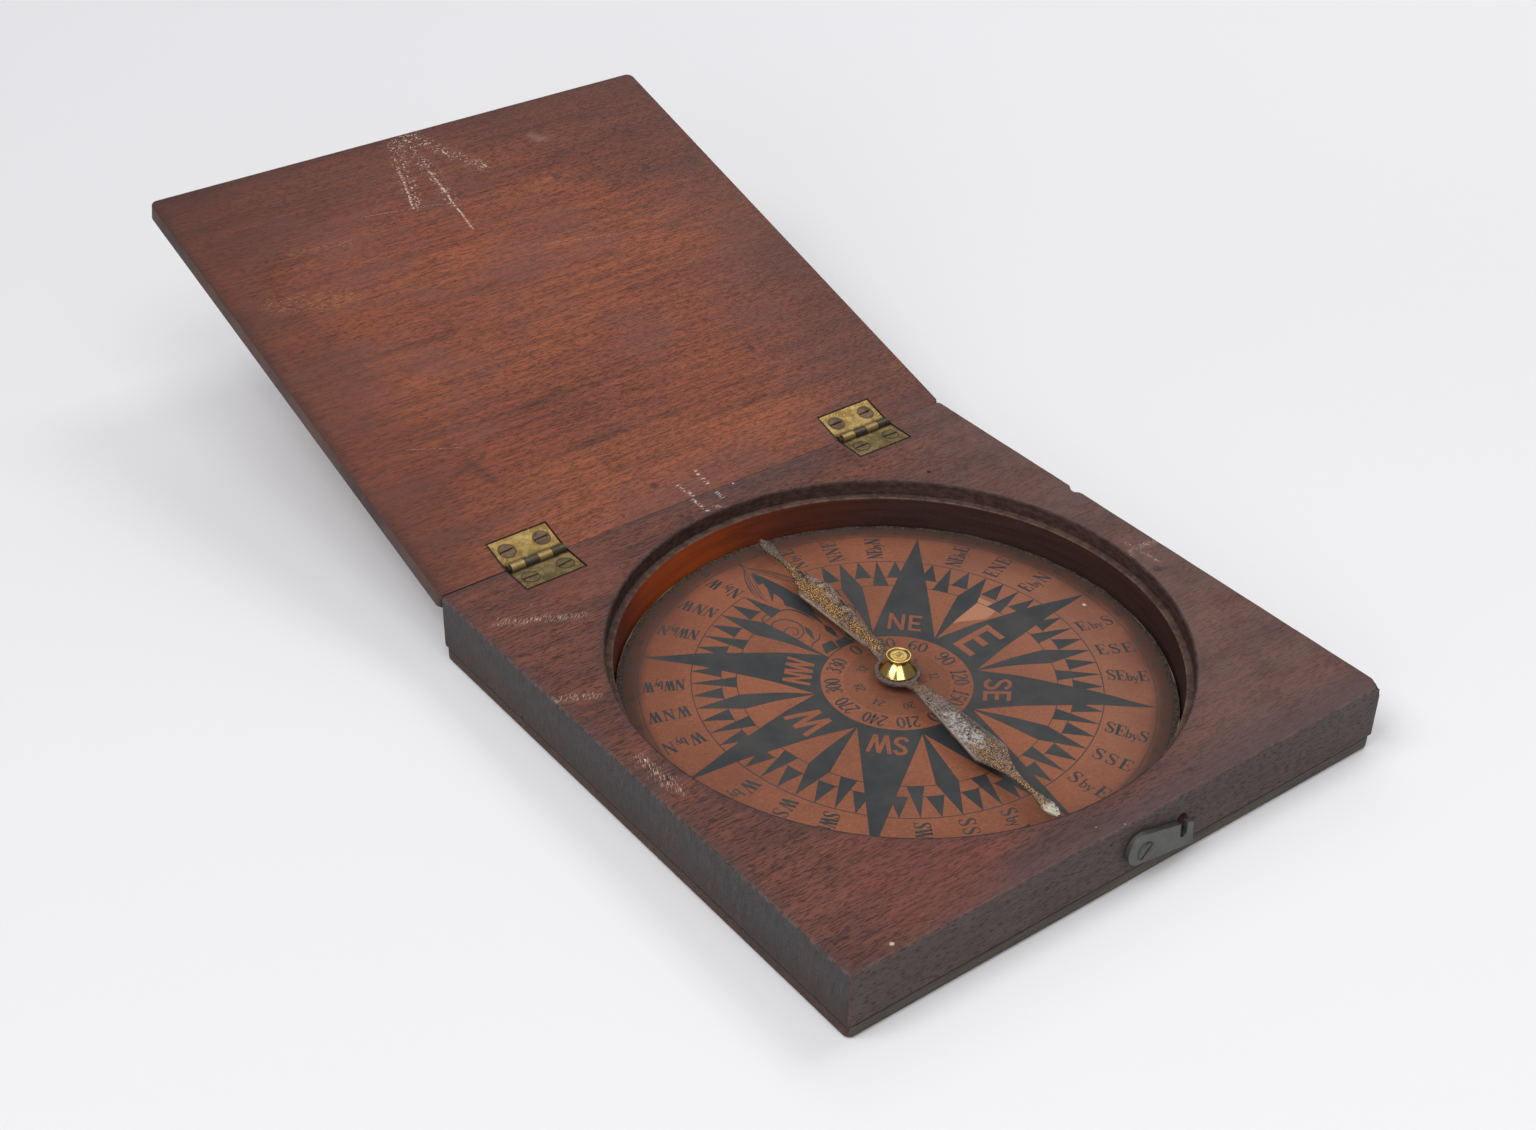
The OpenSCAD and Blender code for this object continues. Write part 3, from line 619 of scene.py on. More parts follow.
def lid_wood():
    wood, _, open_pores = mahogany("lid_wood", 8, LID_BROWNS, 0.5)
    x, y, z = wood.millimetres(closed_place(wood))
    s = AXIS_Y - y
    ragged = wood.noise(620, 3, 0.6)
    dust = wood.noise(40, 4, 0.6)
    inner = z.step(18.1, 17.9)
    outer = z.step(22.2, 22.45)
    # Darker towards the left, the far edge and the corners
    bloom = wood.noise((26, 60, 60), 4, 0.6, shift=(0.4, 0.2, 0.1))
    wood.lay(bloom.step(0.46, 0.66) * 0.5, (108, 66, 58))
    wood.lay((x + dust * 30).step(-22, -66) * 0.6, (72, 40, 34))
    wood.lay((s + dust * 10).step(20, 6) * (x + 10).step(-20, 20) * 0.3, (78, 50, 46))
    wood.lay((s + dust * 26).step(126, 160) * 0.6, (74, 42, 37))
    rim = (150 - s).min(76 + x)
    wood.lay((rim + dust * 8).step(8, 2.5) * 0.6, (50, 32, 31))
    # A painted sheen: purple grey towards the right.
    wood.lay((x - dust * 26 - s * 0.12).step(8, 58) * 0.65, (80, 51, 48))
    wood.lay(scratch(x, s, (34, 116), (70, 108), 9, dust) * 0.35, (60, 42, 38))
    # Stains
    for cx, cy, radius in ((-10.6, 7.5, 2.2), (40.5, 38, 2), (30, 118, 2.6), (56, 112, 2.4),
                           (-24, 60, 0.9), (-23.5, 2.4, 0.8)):
        wood.lay(inner * speck(x, s, cx, cy, radius, ragged) * 0.65, (58, 37, 35))
    for start, end, width in (((-48.5, 34.8), (-45.7, 25.6), 3), ((-55, 31), (-44, 34), 1.6),
                              ((10.2, 10.3), (16.5, 10.9), 0.9)):
        wood.lay(inner * scratch(x, s, start, end, width, ragged) * 0.5, (62, 38, 36))
    # Painted shade: near black in the gap round each hinge leaf.
    wood.lay(inner * recess_shade(x, s) * 0.85, (24, 16, 13))
    # The fan of white scratches under the far edge, a crescent smear and a pale rubbed patch
    white = (214, 190, 172)
    sway = wood.noise(150, 3, 0.6, shift=(0.2, 0, 0))
    grit = wood.noise(1500, 3, 0.7)
    bent_x, bent_s = x + (sway - 0.5) * 0.9 + (grit - 0.5) * 0.8, s + (ragged - 0.5) * 1.2
    chalk = grit.step(0.44, 0.6)
    for start, end, width in (((-9, 138), (-13.4, 121.5), 0.9), ((-1.6, 134), (-2.9, 108.2), 0.85)):
        wood.lay(inner * scratch(bent_x, bent_s, start, end, width, grit) * chalk, white)
    for start, end in (((-5, 148), (-12, 122)), ((-1, 149), (-2.5, 118)), ((1, 149), (13, 129))):
        cloud = scratch(bent_x, bent_s, start, end, 5.2, sway) * grit.step(0.55, 0.64)
        wood.lay(inner * cloud * 0.75, white)
    hollow = speck(x, s, 38.4, 137.6, 6.4, sway * 0.6)
    crescent = speck(x, s, 35.6, 135.6, 6, sway) * (1 - hollow)
    wood.lay(inner * crescent * 0.3, (158, 138, 132))
    hatching = wood.noise((700, 2400, 2400), 2, 0.6)
    for start, end, width in (((-66, 102.5), (-46, 97.5), 8), ((-52, 118), (-36, 116), 4)):
        rubbed = scratch(x, s, start, end, width, dust) * hatching.step(0.5, 0.6)
        wood.lay(inner * rubbed * 0.5, (158, 108, 70))
    for start, end in (((1.5, 7.3), (1.9, 2)), ((-5.8, 6.2), (-3.8, 0.8))):
        wood.lay(inner * hatched(wood, x, s, start, end), (220, 206, 190))
    for start, end in (((-60, 44), (-47, 39)), ((8, 96), (33, 91)), ((-30, 124), (2, 119))):
        wood.lay(inner * scratch(bent_x, bent_s, start, end, 0.35, grit) * chalk * 0.55, PALE_SCUFF)
    # Greyed edges and the duller outside
    margin = (76 - abs(x)).min((s * -1 + 150.2).min(s + 0.3))
    edge = margin.step(0.5, 0.15) * (1 - inner) * (1 - outer)
    edge_tone = wood.mix(dust.step(0.35, 0.7), (86, 66, 58), (52, 42, 42))
    wood.lay(edge * 0.85, edge_tone)
    wood.lay(outer * 0.5, (96, 62, 52))
    far_arris = s.step(149.75, 149.95) * z.step(18.25, 18)
    wood.lay(far_arris * ragged.step(0.42, 0.6) * 0.35, (176, 146, 118))
    # Painted shade: a near black line along the hinge edge, left of the left hinge, in the gap against
    # the case.
    wood.lay(s.step(0.35, 0.1) * x.step(-50, -60) * 0.8, (20, 14, 12))
    wood.settle(0.42 + open_pores * 0.2 + edge * 0.15 + dust * 0.06)
    return wood


LID_WOOD = lid_wood()
print("lid wood has", len(LID_WOOD.tree.nodes), "nodes")

# %% [markdown]
# ## The wood of the bottom board
# The bottom board is a plainer, darker piece. Its edge shows as a brown strip round the foot of the
# case, greyer at the front.

# %% Board wood
BOARD_BROWNS = ((46, 32, 28), (70, 48, 41), (84, 58, 48))


def board_wood():
    wood, streaks, open_pores = mahogany("board_wood", 14, BOARD_BROWNS, 0.5)
    x, y, z = wood.millimetres()
    dust = wood.noise(60, 4, 0.6)
    front = y.step(-74.6, -75)
    wood.lay(front * 0.85, wood.mix(streaks.step(0.35, 0.7), (86, 80, 72), (62, 56, 50)))
    left = x.step(-75, -75.5)
    wood.lay(left * dust.step(0.3, 0.7) * 0.6, (70, 57, 44))
    # Painted shade: the top edge of the board, in the gap under the case, is near black.
    wood.lay(z.step(3, 3.5) * 0.9, (20, 15, 14))
    under = z.step(0.3, 0.05)
    wood.lay(under * dust.step(0.4, 0.8) * 0.22, (126, 102, 88))
    wood.settle(0.55 + open_pores * 0.2 + dust * 0.1)
    return wood


BOARD_WOOD = board_wood()
print("board wood has", len(BOARD_WOOD.tree.nodes), "nodes")

# %% [markdown]
# ## Cutters
# Mortises, channels, holes and chips are cut out of the wood with an exact Boolean, as a chisel would
# cut them. Each cutter is a small closed solid, and the chips are lumpy balls that bite an edge.

# %% Cutters
def rod(start, end, radius, sides=32):
    """A closed rod: a circle at each end, square to the line between them."""
    start, end = np.array(start, float), np.array(end, float)
    line = (end - start) / np.linalg.norm(end - start)
    across = np.cross(line, [0.3, 0.5, 0.81])
    across /= np.linalg.norm(across)
    angle = np.linspace(0, 2 * np.pi, sides, endpoint=False)[:, None]
    circle = radius * (np.cos(angle) * across + np.sin(angle) * np.cross(line, across))
    return tube(np.stack([start + circle, end + circle]))


def block(low, high):
    """A closed box between two corners."""
    (x0, y0, z0), (x1, y1, z1) = low, high
    base = np.array([[x0, y0], [x1, y0], [x1, y1], [x0, y1]])
    return tube(np.stack([np.column_stack([base, np.full(4, z)]) for z in (z0, z1)]))


def lump(x, y, z, radius, rng):
    """A lumpy ball: rows of latitude whose radius rises and falls by a seeded fifth."""
    rows, columns = 9, 14
    up = np.linspace(-1.45, 1.45, rows)[:, None]
    around = np.linspace(0, 2 * np.pi, columns, endpoint=False)[None, :]
    reach = radius * (1 + 0.2 * rng.normal(size=(rows, columns)).clip(-1, 1))
    ball = np.stack([np.cos(up) * np.cos(around), np.cos(up) * np.sin(around), np.sin(up) + 0 * around],
                    axis=-1)
    return tube(np.array([x, y, z]) + reach[..., None] * ball)


def cut_from(mesh, *cutters):
    """The mesh without what the cutters take away. Solids in one cutter don't overlap each other."""
    scene_objects = bpy.context.scene.collection.objects
    uncut = bpy.data.objects.new("uncut", mesh)
    scene_objects.link(uncut)
    tools = []
    for cutter in cutters:
        tool = bpy.data.objects.new("cutter", make_mesh("cutter", *cutter))
        scene_objects.link(tool)
        change = uncut.modifiers.new("cut", "BOOLEAN")
        change.operation, change.solver, change.object = "DIFFERENCE", "EXACT", tool
        tools.append(tool)
    bpy.context.view_layer.update()
    result = bpy.data.meshes.new_from_object(uncut.evaluated_get(bpy.context.evaluated_depsgraph_get()))
    for used in (uncut, *tools):
        bpy.data.objects.remove(used)
    return result


def hinge_recesses(side):
    """The recess for each leaf and the round channel for its knuckles: side -1 is the case and 1 the
    lid."""
    face = AXIS_Z + side * 0.05
    floor_z = face + side * (LEAF_T + 0.04)
    recesses, channels = [], []
    for x in (-HINGE_X, HINGE_X):
        low, high = sorted((floor_z, face - side))
        left, right = x - LEAF_W / 2 - 0.15, x + LEAF_W / 2 + 0.5
        recesses.append(block((left, AXIS_Y - LEAF_LEN - 0.3, low), (right, AXIS_Y + 1.5, high)))
        channels.append(rod((left, AXIS_Y, AXIS_Z), (right, AXIS_Y, AXIS_Z), 1.55))
    return recesses, channels


print("recesses at", [-HINGE_X, HINGE_X])

# %% [markdown]
# ## The case
# The case is one closed skin: up the wall of the well, over the ledge and the rebate, across the top,
# round the worn outer edge, down the side and back underneath. Rows follow that line, and columns go
# round it, so the round well and the square outside meet without a seam.

# %% Case shell
STOP_LEAN = math.tan(math.radians((180.0 - LID_OPEN) / 2))
STOP_Y = AXIS_Y - 0.0505
CASE_CORNER, LID_CORNER, BOARD_CORNER = 1.2, 2.0, 1.8


def eased(radius, steps, start=0.0, end=90.0):
    """How far a rounded edge is in from its upright face and below its flat face, step by step."""
    turn = np.radians(np.linspace(start, end, steps))
    return [(radius * (1 - np.sin(t)), radius * (1 - np.cos(t))) for t in turn]


def case_shell(rng):
    """The rows of the skin. worn is how far the rounded outer edge reaches in, and lip the same round
    the rebate: each is a mean plus a wavy line. The back leans so that the open lid rests on it."""
    rim, out = outline(CASE_W, CASE_D, CASE_CORNER, 110, 8)
    bearing = np.arctan2(rim[:, 1] - WELL[1], rim[:, 0] - WELL[0])
    ray = np.column_stack([np.cos(bearing), np.sin(bearing)])
    worn = 0.42 + 0.07 * wander(len(rim), rng) + 0.22 * np.clip(-rim[:, 0] / 76, 0, 1) ** 8
    rows = []

    def row(points, z):
        rows.append(np.column_stack([points, np.broadcast_to(z, len(rim))]))

    def ring(radius, z):
        row(WELL + np.reshape(radius, (-1, 1)) * ray, z)

    def edge(inset, z):
        row(rim - np.reshape(inset, (-1, 1)) * out, z)

    for z in (BOTTOM_T, BOTTOM_T + 0.3, LEDGE_Z - 0.6):
        ring(BORE_R, z)
    for inset, drop in eased(0.25, 4)[::-1]:
        ring(BORE_R + inset, LEDGE_Z - drop)
    for radius, z in ((REBATE_R - 0.12, LEDGE_Z), (REBATE_R, LEDGE_Z + 0.12), (REBATE_R, CASE_H - 0.8)):
        ring(radius, z)
    lip = 0.34 + 0.05 * wander(len(rim), rng)
    for inset, drop in eased(1.0, 5)[::-1]:
        ring(REBATE_R + lip * inset, CASE_H - lip * drop)
    inner = rows[-1][:, :2] + 0.3 * ray
    outer = rim - (worn + 0.3)[:, None] * out
    for share in (0.0, 0.2, 0.4, 0.6, 0.8, 1.0):
        row(inner * (1 - share) + outer * share, CASE_H)
    for inset, drop in eased(1.0, 7):
        edge(worn * inset, CASE_H - worn * drop)
    edge(0.0, CASE_H - 1.6)
    edge(0.0, BOTTOM_T + 0.9)
    for inset, drop in eased(0.3, 4)[::-1]:
        edge(inset, BOTTOM_T + drop)
    edge(1.2, BOTTOM_T)
    shell = np.stack(rows)
    shell[..., 1] = np.minimum(shell[..., 1], STOP_Y + (AXIS_Z - shell[..., 2]) * STOP_LEAN)
    quads = grid_quads(*shell.shape[:2], wrap_rows=True, wrap_columns=True)
    return closed(shell.reshape(-1, 3), quads)


wear = np.random.default_rng(1887)
recesses, channels = hinge_recesses(-1)
chips = [lump(*chip, wear) for chip in ((77.0, -76.0, 19.2, 4.0), (77.0, 23.2, 18.1, 2.6),
                                        (17.3, -76.1, 9.0, 0.95), (41.0, -75.7, 18.0, 0.7),
                                        (-52.0, -75.8, 17.9, 0.6), (-76.3, -30.0, 17.9, 0.6),
                                        (76.3, -40.0, 17.9, 0.5), (-76.2, 41.0, 4.0, 0.7))]
holes = [rod((13.35, -77.0, 10.9), (13.35, -72.9, 10.9), 1.5),
         rod((51.1, 50.3, 15.0), (51.1, 50.3, 19.0), 0.55, 12)]
case_mesh = cut_from(make_mesh("case_shell", case_shell(wear)), recesses + chips + holes, channels)
add_piece("case_shell", case_mesh, "case", CASE_WOOD, ["case_body"])

# %% [markdown]
# ## The lid and the bottom board
# Both are plain slabs with round corners and eased edges. A slab is a tube that goes round the edge
# only: its two flat faces close it like the ends of a drum.

# %% Slabs
def slab(width, depth, middle_y, corner, low, high, ease_low, ease_high):
    """Rows from the lower flat face, round the eased lower edge, up the side and onto the upper
    face."""
    rim, out = outline(width, depth, corner, 60, 8)
    rim = rim + [0.0, middle_y]
    rows = [(ease_low + 0.4, low)]
    rows += [(inset, low + drop) for inset, drop in eased(ease_low, 5)]
    rows += [(inset, high - drop) for inset, drop in eased(ease_high, 5)[::-1]]
    rows.append((ease_high + 0.4, high))
    return np.stack([np.column_stack([rim - inset * out, np.full(len(rim), z)]) for inset, z in rows])


lid = slab(CASE_W, LID_BACK - LID_FRONT, (LID_BACK + LID_FRONT) / 2, LID_CORNER, LID_LOW,
           LID_LOW + LID_T, 0.3, 0.5)
lid[..., 1] = np.minimum(lid[..., 1], STOP_Y + (lid[..., 2] - AXIS_Z) * STOP_LEAN)
recesses, channels = hinge_recesses(1)
chips = [lump(*chip, wear) for chip in ((-77.2, -75.9, 17.2, 2.4), (-72.6, -76.4, 17.2, 1.5),
                                        (60.0, -75.5, 17.5, 0.6), (76.4, -75.6, 17.6, 1.0),
                                        (-76.5, 20.0, 17.7, 0.6))]
stud_hole = [rod((1.6, -76.0, 20.49), (1.6, -68.96, 20.49), 0.64, 24)]
lid_mesh = cut_from(make_mesh("lid_panel", tube(lid)), recesses + chips + stud_hole, channels)
closed_points = np.empty(len(lid_mesh.vertices) * 3, np.float32)
lid_mesh.vertices.foreach_get("co", closed_points)
opened = turn_about_hinge(closed_points.reshape(-1, 3).astype(float) / MM, -LID_OPEN) * MM
lid_mesh.vertices.foreach_set("co", opened.astype(np.float32).ravel())
add_piece("lid_panel", lid_mesh, "lid", LID_WOOD, ["lid_board"])

board = slab(CASE_W - 0.6, CASE_D - 0.6, 0.0, BOARD_CORNER, 0.0, BOTTOM_T, 0.9, 0.25)
BRADS = [(sx * x, sy * y) for sx in (-1, 1) for sy in (-1, 1) for x, y in ((68.0, 67.5), (28.0, 70.0))]
brad_holes = [rod((x, y, -1.0), (x, y, 3.0), 0.74, 20) for x, y in BRADS]
board_mesh = cut_from(make_mesh("foot_board", tube(board)), brad_holes)
add_piece("foot_board", board_mesh, "case", BOARD_WOOD, ["bottom_board"])

# %% [markdown]
# ## The card
# The card is printed paper on pasteboard. Damp has lifted it, so it waves up by almost a millimetre
# between the middle and the rim, except near the south. One function gives its height everywhere, and
# both the paper and the ink on it are laid on that function.

# %% Card sheet
CARD_R, CARD_HOLE_R, PAPER_T = 64.05, 0.96, 0.28


def smooth(value, low, high):
    """0 below low, 1 above high, and the cubic 3t^2 - 2t^3 between them."""
    t = np.clip((value - low) / (high - low), 0, 1)
    return t * t * (3 - 2 * t)


def card_height(x, y):
    """The height of the card's face: its flat level plus 0.9 mm of lift, which fades out towards the
    middle, the rim and the south."""
    radius = np.hypot(x - WELL[0], y - WELL[1])
    bearing = np.arctan2(x - WELL[0], y - WELL[1])
    around = smooth(np.cos(bearing - math.radians(22)), -1.0, -0.5)
    return CARD_TOP + 0.9 * around * smooth(radius, 18, 30) * (1 - smooth(radius, 44, 58))


def polar(radius, bearing):
    """A place on the card from its distance from the middle and its bearing, clockwise from north."""
    turn = np.radians(bearing)
    return np.stack([WELL[0] + radius * np.sin(turn), WELL[1] + radius * np.cos(turn)], axis=-1)


def card_sheet(rng):
    """The paper: a polar grid from the pin's hole to a slightly wavy rim, face and underside."""
    bearings = np.linspace(0, 360, 300, endpoint=False)[:, None]
    rim = (CARD_R + 0.13 * wander(300, rng, 14))[:, None]
    share = np.linspace(0, 1, 64)[None, :]
    face = polar(CARD_HOLE_R + (rim - CARD_HOLE_R) * share, bearings + 0 * share)
    height = card_height(face[..., 0], face[..., 1])
    top = np.concatenate([face, height[..., None]], axis=-1)
    under = np.concatenate([face, height[..., None] - PAPER_T], axis=-1)[:, ::-1]
    sheet = np.concatenate([top, under], axis=1)
    return closed(sheet.reshape(-1, 3), grid_quads(*sheet.shape[:2], wrap_rows=True, wrap_columns=True))


PATCH = [polar(r, b).tolist() for r, b in ((26.4, 70.2), (39.0, 68.8), (38.8, 79.6), (32.6, 80.6))]


def card_paper():
    paper = Finish("card_paper", Specular_IOR_Level=0.25)
    x, y, _ = paper.millimetres()
    away = distance(x - WELL[0], y - WELL[1])
    fine = paper.noise(1500, 4, 0.65)
    cloud = paper.noise(38, 4, 0.6, shift=(0.3, 0.1, 0))
    fibre = paper.noise((600, 2600, 600), 2, turn=0.5)
    paper.tone = paper.mix(cloud.step(0.3, 0.7), (143, 88, 63), (124, 76, 57))
    paper.lay(fine.step(0.35, 0.75) * 0.4, (98, 56, 44))
    paper.lay(fibre.step(0.55, 0.75) * 0.2, (176, 118, 92))
    # Handling round the middle; painted shade near the rim to the north and east, under the wall; a
    # dark outer band, part dirt and part painted shade; dust and fraying at the rim
    paper.lay((x - y * 0.3 + cloud * 20).step(20, 62) * 0.22, (146, 112, 96))
    # Painted shade: darker near the rim to the north and east, under the wall.
    rim_shade = (away + cloud * 14).step(56, 72) * (y * 0.6 + x * 0.8 + 30).step(0, 50)
    paper.lay(rim_shade * 0.65, (96, 49, 40))
    # The dark outer band: part dirt, part painted shade from the wall.
    paper.lay((away + cloud * 5).step(59.6, 63.6) * 0.82, (68, 49, 42))
    paper.lay(away.step(12.1, 11.6) * 0.38, (104, 66, 50))
    paper.lay(abs(away - 12).step(0.3, 0.1) * 0.3, (84, 58, 48))
    paper.lay(away.step(62.4, 62.7) * (0.4 + cloud * 0.6), (66, 50, 42))
    dusty = (away + cloud * 1.6 + fine * 0.8).step(63.6, 64.6)
    paper.lay(dusty * 0.85, paper.mix(fine.step(0.4, 0.6), (44, 34, 29), (84, 70, 60)))
    paper.lay(speck(x, y, 55.5, -3.1, 0.85, fine), (186, 180, 168))
    # A scraped patch beside the east point, inside four straight edges
    rubbed = 1
    for (ax, ay), (bx, by) in zip(PATCH, PATCH[1:] + PATCH[:1]):
        side = ((x - ax) * (by - ay) - (y - ay) * (bx - ax)) / math.hypot(bx - ax, by - ay)
        rubbed = rubbed * (side + (fine - 0.5) * 0.8).step(-0.15, 0.25)
    paper.lay(rubbed * (0.2 + fine * 0.45), (196, 144, 112))
    paper.settle(0.62 + fine * 0.2)
    paper.bump(fine * 0.6 + cloud * 0.4, 0.25, 0.00012)
    return paper


CARD_PAPER = card_paper()
add_piece("card_sheet", make_mesh("card_sheet", card_sheet(wear)), "case", CARD_PAPER,
          ["compass_card"])

# %% [markdown]
# ## The print
# The rose is traditional: eight main points with the north as a flower, sixteen slim kites between
# them, and rows of small triangles out to a ring. Ink is pressed on as very thin closed slabs that
# follow the card, because a real outline stays sharp at any distance. Each mark is a grid of places on
# the card, and marks with equal grids are pressed together.

# %% Pressing ink
PRESSED = []


def press(grids, lift):
    """Adds closed slabs of ink. grids holds (marks, rows, columns, 2) places in millimetres. Each
    slab's face lies lift above the card's, and its underside lies just inside the paper."""
    grids = np.array(grids, float)
    across = grids[:, 0, -1] - grids[:, 0, 0] + grids[:, -1, -1] - grids[:, -1, 0]
    onward = grids[:, -1].mean(axis=1) - grids[:, 0].mean(axis=1)
    turned = across[:, 0] * onward[:, 1] - across[:, 1] * onward[:, 0] < 0
    grids[turned] = grids[turned][:, :, ::-1]
    marks, rows, columns = grids.shape[:3]
    count = rows * columns
    height = card_height(grids[..., 0], grids[..., 1])[..., None]
    face = np.concatenate([grids, height + lift], axis=-1).reshape(marks, count, 3)
    foot = np.concatenate([grids, height - 0.05], axis=-1).reshape(marks, count, 3)
    index = np.arange(count).reshape(rows, columns)
    ring = np.concatenate([index[0, :-1], index[:-1, -1], index[-1, :0:-1], index[:0:-1, 0]])
    after = np.roll(ring, -1)
    upper = grid_quads(rows, columns)
    walls = np.stack([ring, ring + count, after + count, after], axis=1)
    quads = np.concatenate([upper, upper[:, ::-1] + count, walls])
    starts = np.arange(marks)[:, None, None] * 2 * count
    PRESSED.append((np.concatenate([face, foot], axis=1).reshape(-1, 3),
                    (quads + starts).reshape(-1, 4)))


def lifted():
    """Takes what was pressed so far and joins it into one solid."""
    points = np.concatenate([p for p, _ in PRESSED])
    starts = np.cumsum([0] + [len(p) for p, _ in PRESSED[:-1]])
    quads = np.concatenate([q + start for (_, q), start in zip(PRESSED, starts)])
    PRESSED.clear()
    return closed(points, quads)


def petals(bearings, radii, halves, columns=3):
    """Straight-sided marks on several bearings: at each radius a row from minus to plus its half width,
    square to the bearing."""
    turn = np.radians(np.atleast_1d(bearings))[:, None, None, None]
    outward = np.concatenate([np.sin(turn), np.cos(turn)], axis=-1)
    clockwise = np.concatenate([np.cos(turn), -np.sin(turn)], axis=-1)
    radii, halves = (np.asarray(v, float)[None, :, None, None] for v in (radii, halves))
    share = np.linspace(-1, 1, columns)[None, None, :, None]
    return WELL + outward * radii + clockwise * halves * share


def ring_line(radius, width, start=0.0, end=360.0, steps=361):
    """A line along a circle: bearings down the rows, inner and outer edge across."""
    bearings = np.linspace(start, end, steps)[:, None]
    return polar(radius + width * np.array([[-0.5, 0.5]]), bearings + [[0.0, 0.0]])[None]


# Distances from the middle: the inner ring, the main points, the kites and the small teeth
HUB_RING, STAR_SIDE, STAR_TIP, KITE_FOOT, KITE_WAIST = 17.7, 19.2, 59.0, 18.6, 36.5
LONG_FOOT, SHORT_FOOT, TEETH_TIP = 36.8, 40.3, 47.2
MAIN_BEARINGS = np.arange(45.0, 360.0, 45.0)
THIN = 0.03
for radius, width in ((HUB_RING, 0.3), (59.25, 0.18), (62.6, 0.2)):
    press(ring_line(radius, width), 0.018)
for radius, width in ((LONG_FOOT, 0.2), (SHORT_FOOT, 0.2), (TEETH_TIP, 0.24)):
    press(ring_line(radius, width, 11.25, 348.75), 0.018)
foot_row = np.stack([polar(HUB_RING, b + np.linspace(-22.5, 22.5, 9)) for b in MAIN_BEARINGS])[:, None]
STAR_FOOT = STAR_SIDE * math.cos(math.radians(22.5))
STAR_HALF = STAR_SIDE * math.sin(math.radians(22.5))
body_radii = np.linspace(STAR_FOOT, STAR_TIP, 30)
body_halves = STAR_HALF * (STAR_TIP - body_radii) / (STAR_TIP - STAR_FOOT) + THIN
press(np.concatenate([foot_row, petals(MAIN_BEARINGS, body_radii, body_halves, 9)], axis=1), 0.03)
kite_radii = np.concatenate([np.linspace(KITE_FOOT, KITE_WAIST, 14), np.linspace(37.3, TEETH_TIP, 9)])
kite_halves = np.interp(kite_radii, [KITE_FOOT, KITE_WAIST, TEETH_TIP], [THIN, 2.62, THIN])
press(petals(np.arange(22.5, 360, 45), kite_radii, kite_halves), 0.024)
for first, step, foot, half, rows, lift in ((11.25, 22.5, LONG_FOOT, 1.93, 9, 0.024),
                                            (16.875, 11.25, SHORT_FOOT, 2.04, 7, 0.027)):
    press(petals(np.arange(first, 350, step), np.linspace(foot, TEETH_TIP, rows),
                 np.linspace(half, THIN, rows)), lift)
press(petals(np.arange(0.0, 360.0, 1.0), [62.7, 63.5], [0.07, 0.07], 2), 0.016)
print("rose pressed in", len(PRESSED), "groups")

# %% [markdown]
# ### Lettering
# The names of the points are compass letters, which every card of this kind bears. Each letter is a
# few pen strokes in a square one unit high: a stroke is a line of places with a width at each, and a
# smooth curve where it has more than two. The bands that carried words hold plain numbers here.

# %% Pen strokes
def smooth_path(points, samples):
    """A Catmull-Rom curve: between two points, the cubic that arrives and leaves along the chord of the
    neighbours. It carries the width as a third coordinate."""
    p = np.asarray(points, float)
    p = np.concatenate([[2 * p[0] - p[1]], p, [2 * p[-1] - p[-2]]])
    t = np.linspace(0, len(points) - 1, samples)
    k = np.minimum(t.astype(int), len(points) - 2)
    u = (t - k)[:, None]
    a, b, c, d = p[k], p[k + 1], p[k + 2], p[k + 3]
    square, cube = 2 * a - 5 * b + 4 * c - d, 3 * b - 3 * c + d - a
    return 0.5 * (2 * b + (c - a) * u + square * u**2 + cube * u**3)


def ribbon(path, corner=(0, 0), along=(1, 0), up=(0, 1)):
    """The two edges of a stroke: its path set out on two directions, plus and minus half its width."""
    path = np.asarray(path, float)
    scale = math.hypot(*up)
    line = np.array(corner) + path[:, :1] * np.array(along) + path[:, 1:2] * np.array(up)
    heading = np.gradient(line, axis=0)
    heading /= np.linalg.norm(heading, axis=1)[:, None]
    side = np.column_stack([-heading[:, 1], heading[:, 0]]) * path[:, 2:3] * scale / 2
    return np.stack([line - side, line + side], axis=1)


def letters(table):
    """Pen strokes from text. Every number is a hundredth of the letter's height: its width first, and
    then after each bar the x, y and width at every place of a stroke, or x, y, x, y and width where
    the stroke is straight and even."""
    alphabet = {}
    for letter, text in table.items():
        (width,), *strokes = [[float(n) / 100 for n in part.split()] for part in text.split("|")]
        alphabet[letter] = width, [[(*s[:2], s[4]), (*s[2:4], s[4])]
                                   if len(s) == 5 else list(zip(s[::3], s[1::3], s[2::3]))
                                   for s in strokes]
    return alphabet


SERIF = letters({
    "N": "95 | 15 0 15 100 7 | 12 100 80 0 19 | 80 0 80 100 7 | 0 3 30 3 6 | 0 97 24 97 6 | 65 97 95 "
         "97 6",
    "E": "76 | 20 0 20 100 19 | 3 97 68 97 6 | 20 51 50 51 6 | 3 3 70 3 6 | 67 100 67 74 6 | 49 37 49 "
         "65 6 | 69 0 69 28 6",
    "S": "66 | 56 78 5 48 93 6 32 97 6 14 90 10 10 74 15 24 58 19 44 45 19 54 28 15 48 10 10 30 3 6 "
         "14 8 6 7 24 5 | 57 100 57 72 5 | 6 0 6 30 5",
    "W": "120 | 15 98 40 2 18 | 40 2 62 98 7 | 55 98 82 2 18 | 82 2 105 98 7 | 0 97 32 97 6 | 45 97 "
         "74 97 6 | 92 97 118 97 6",
    "b": "46 | 10 0 10 80 11 | 10 38 4 22 47 7 36 38 11 38 22 12 32 7 10 20 1 6 10 8 4",
    "y": "44 | 6 46 22 4 10 | 39 46 14 -20 5 | 14 -20 2 -18 7 | 0 46 14 46 4 | 30 46 45 46 4",
    " ": "16",
})
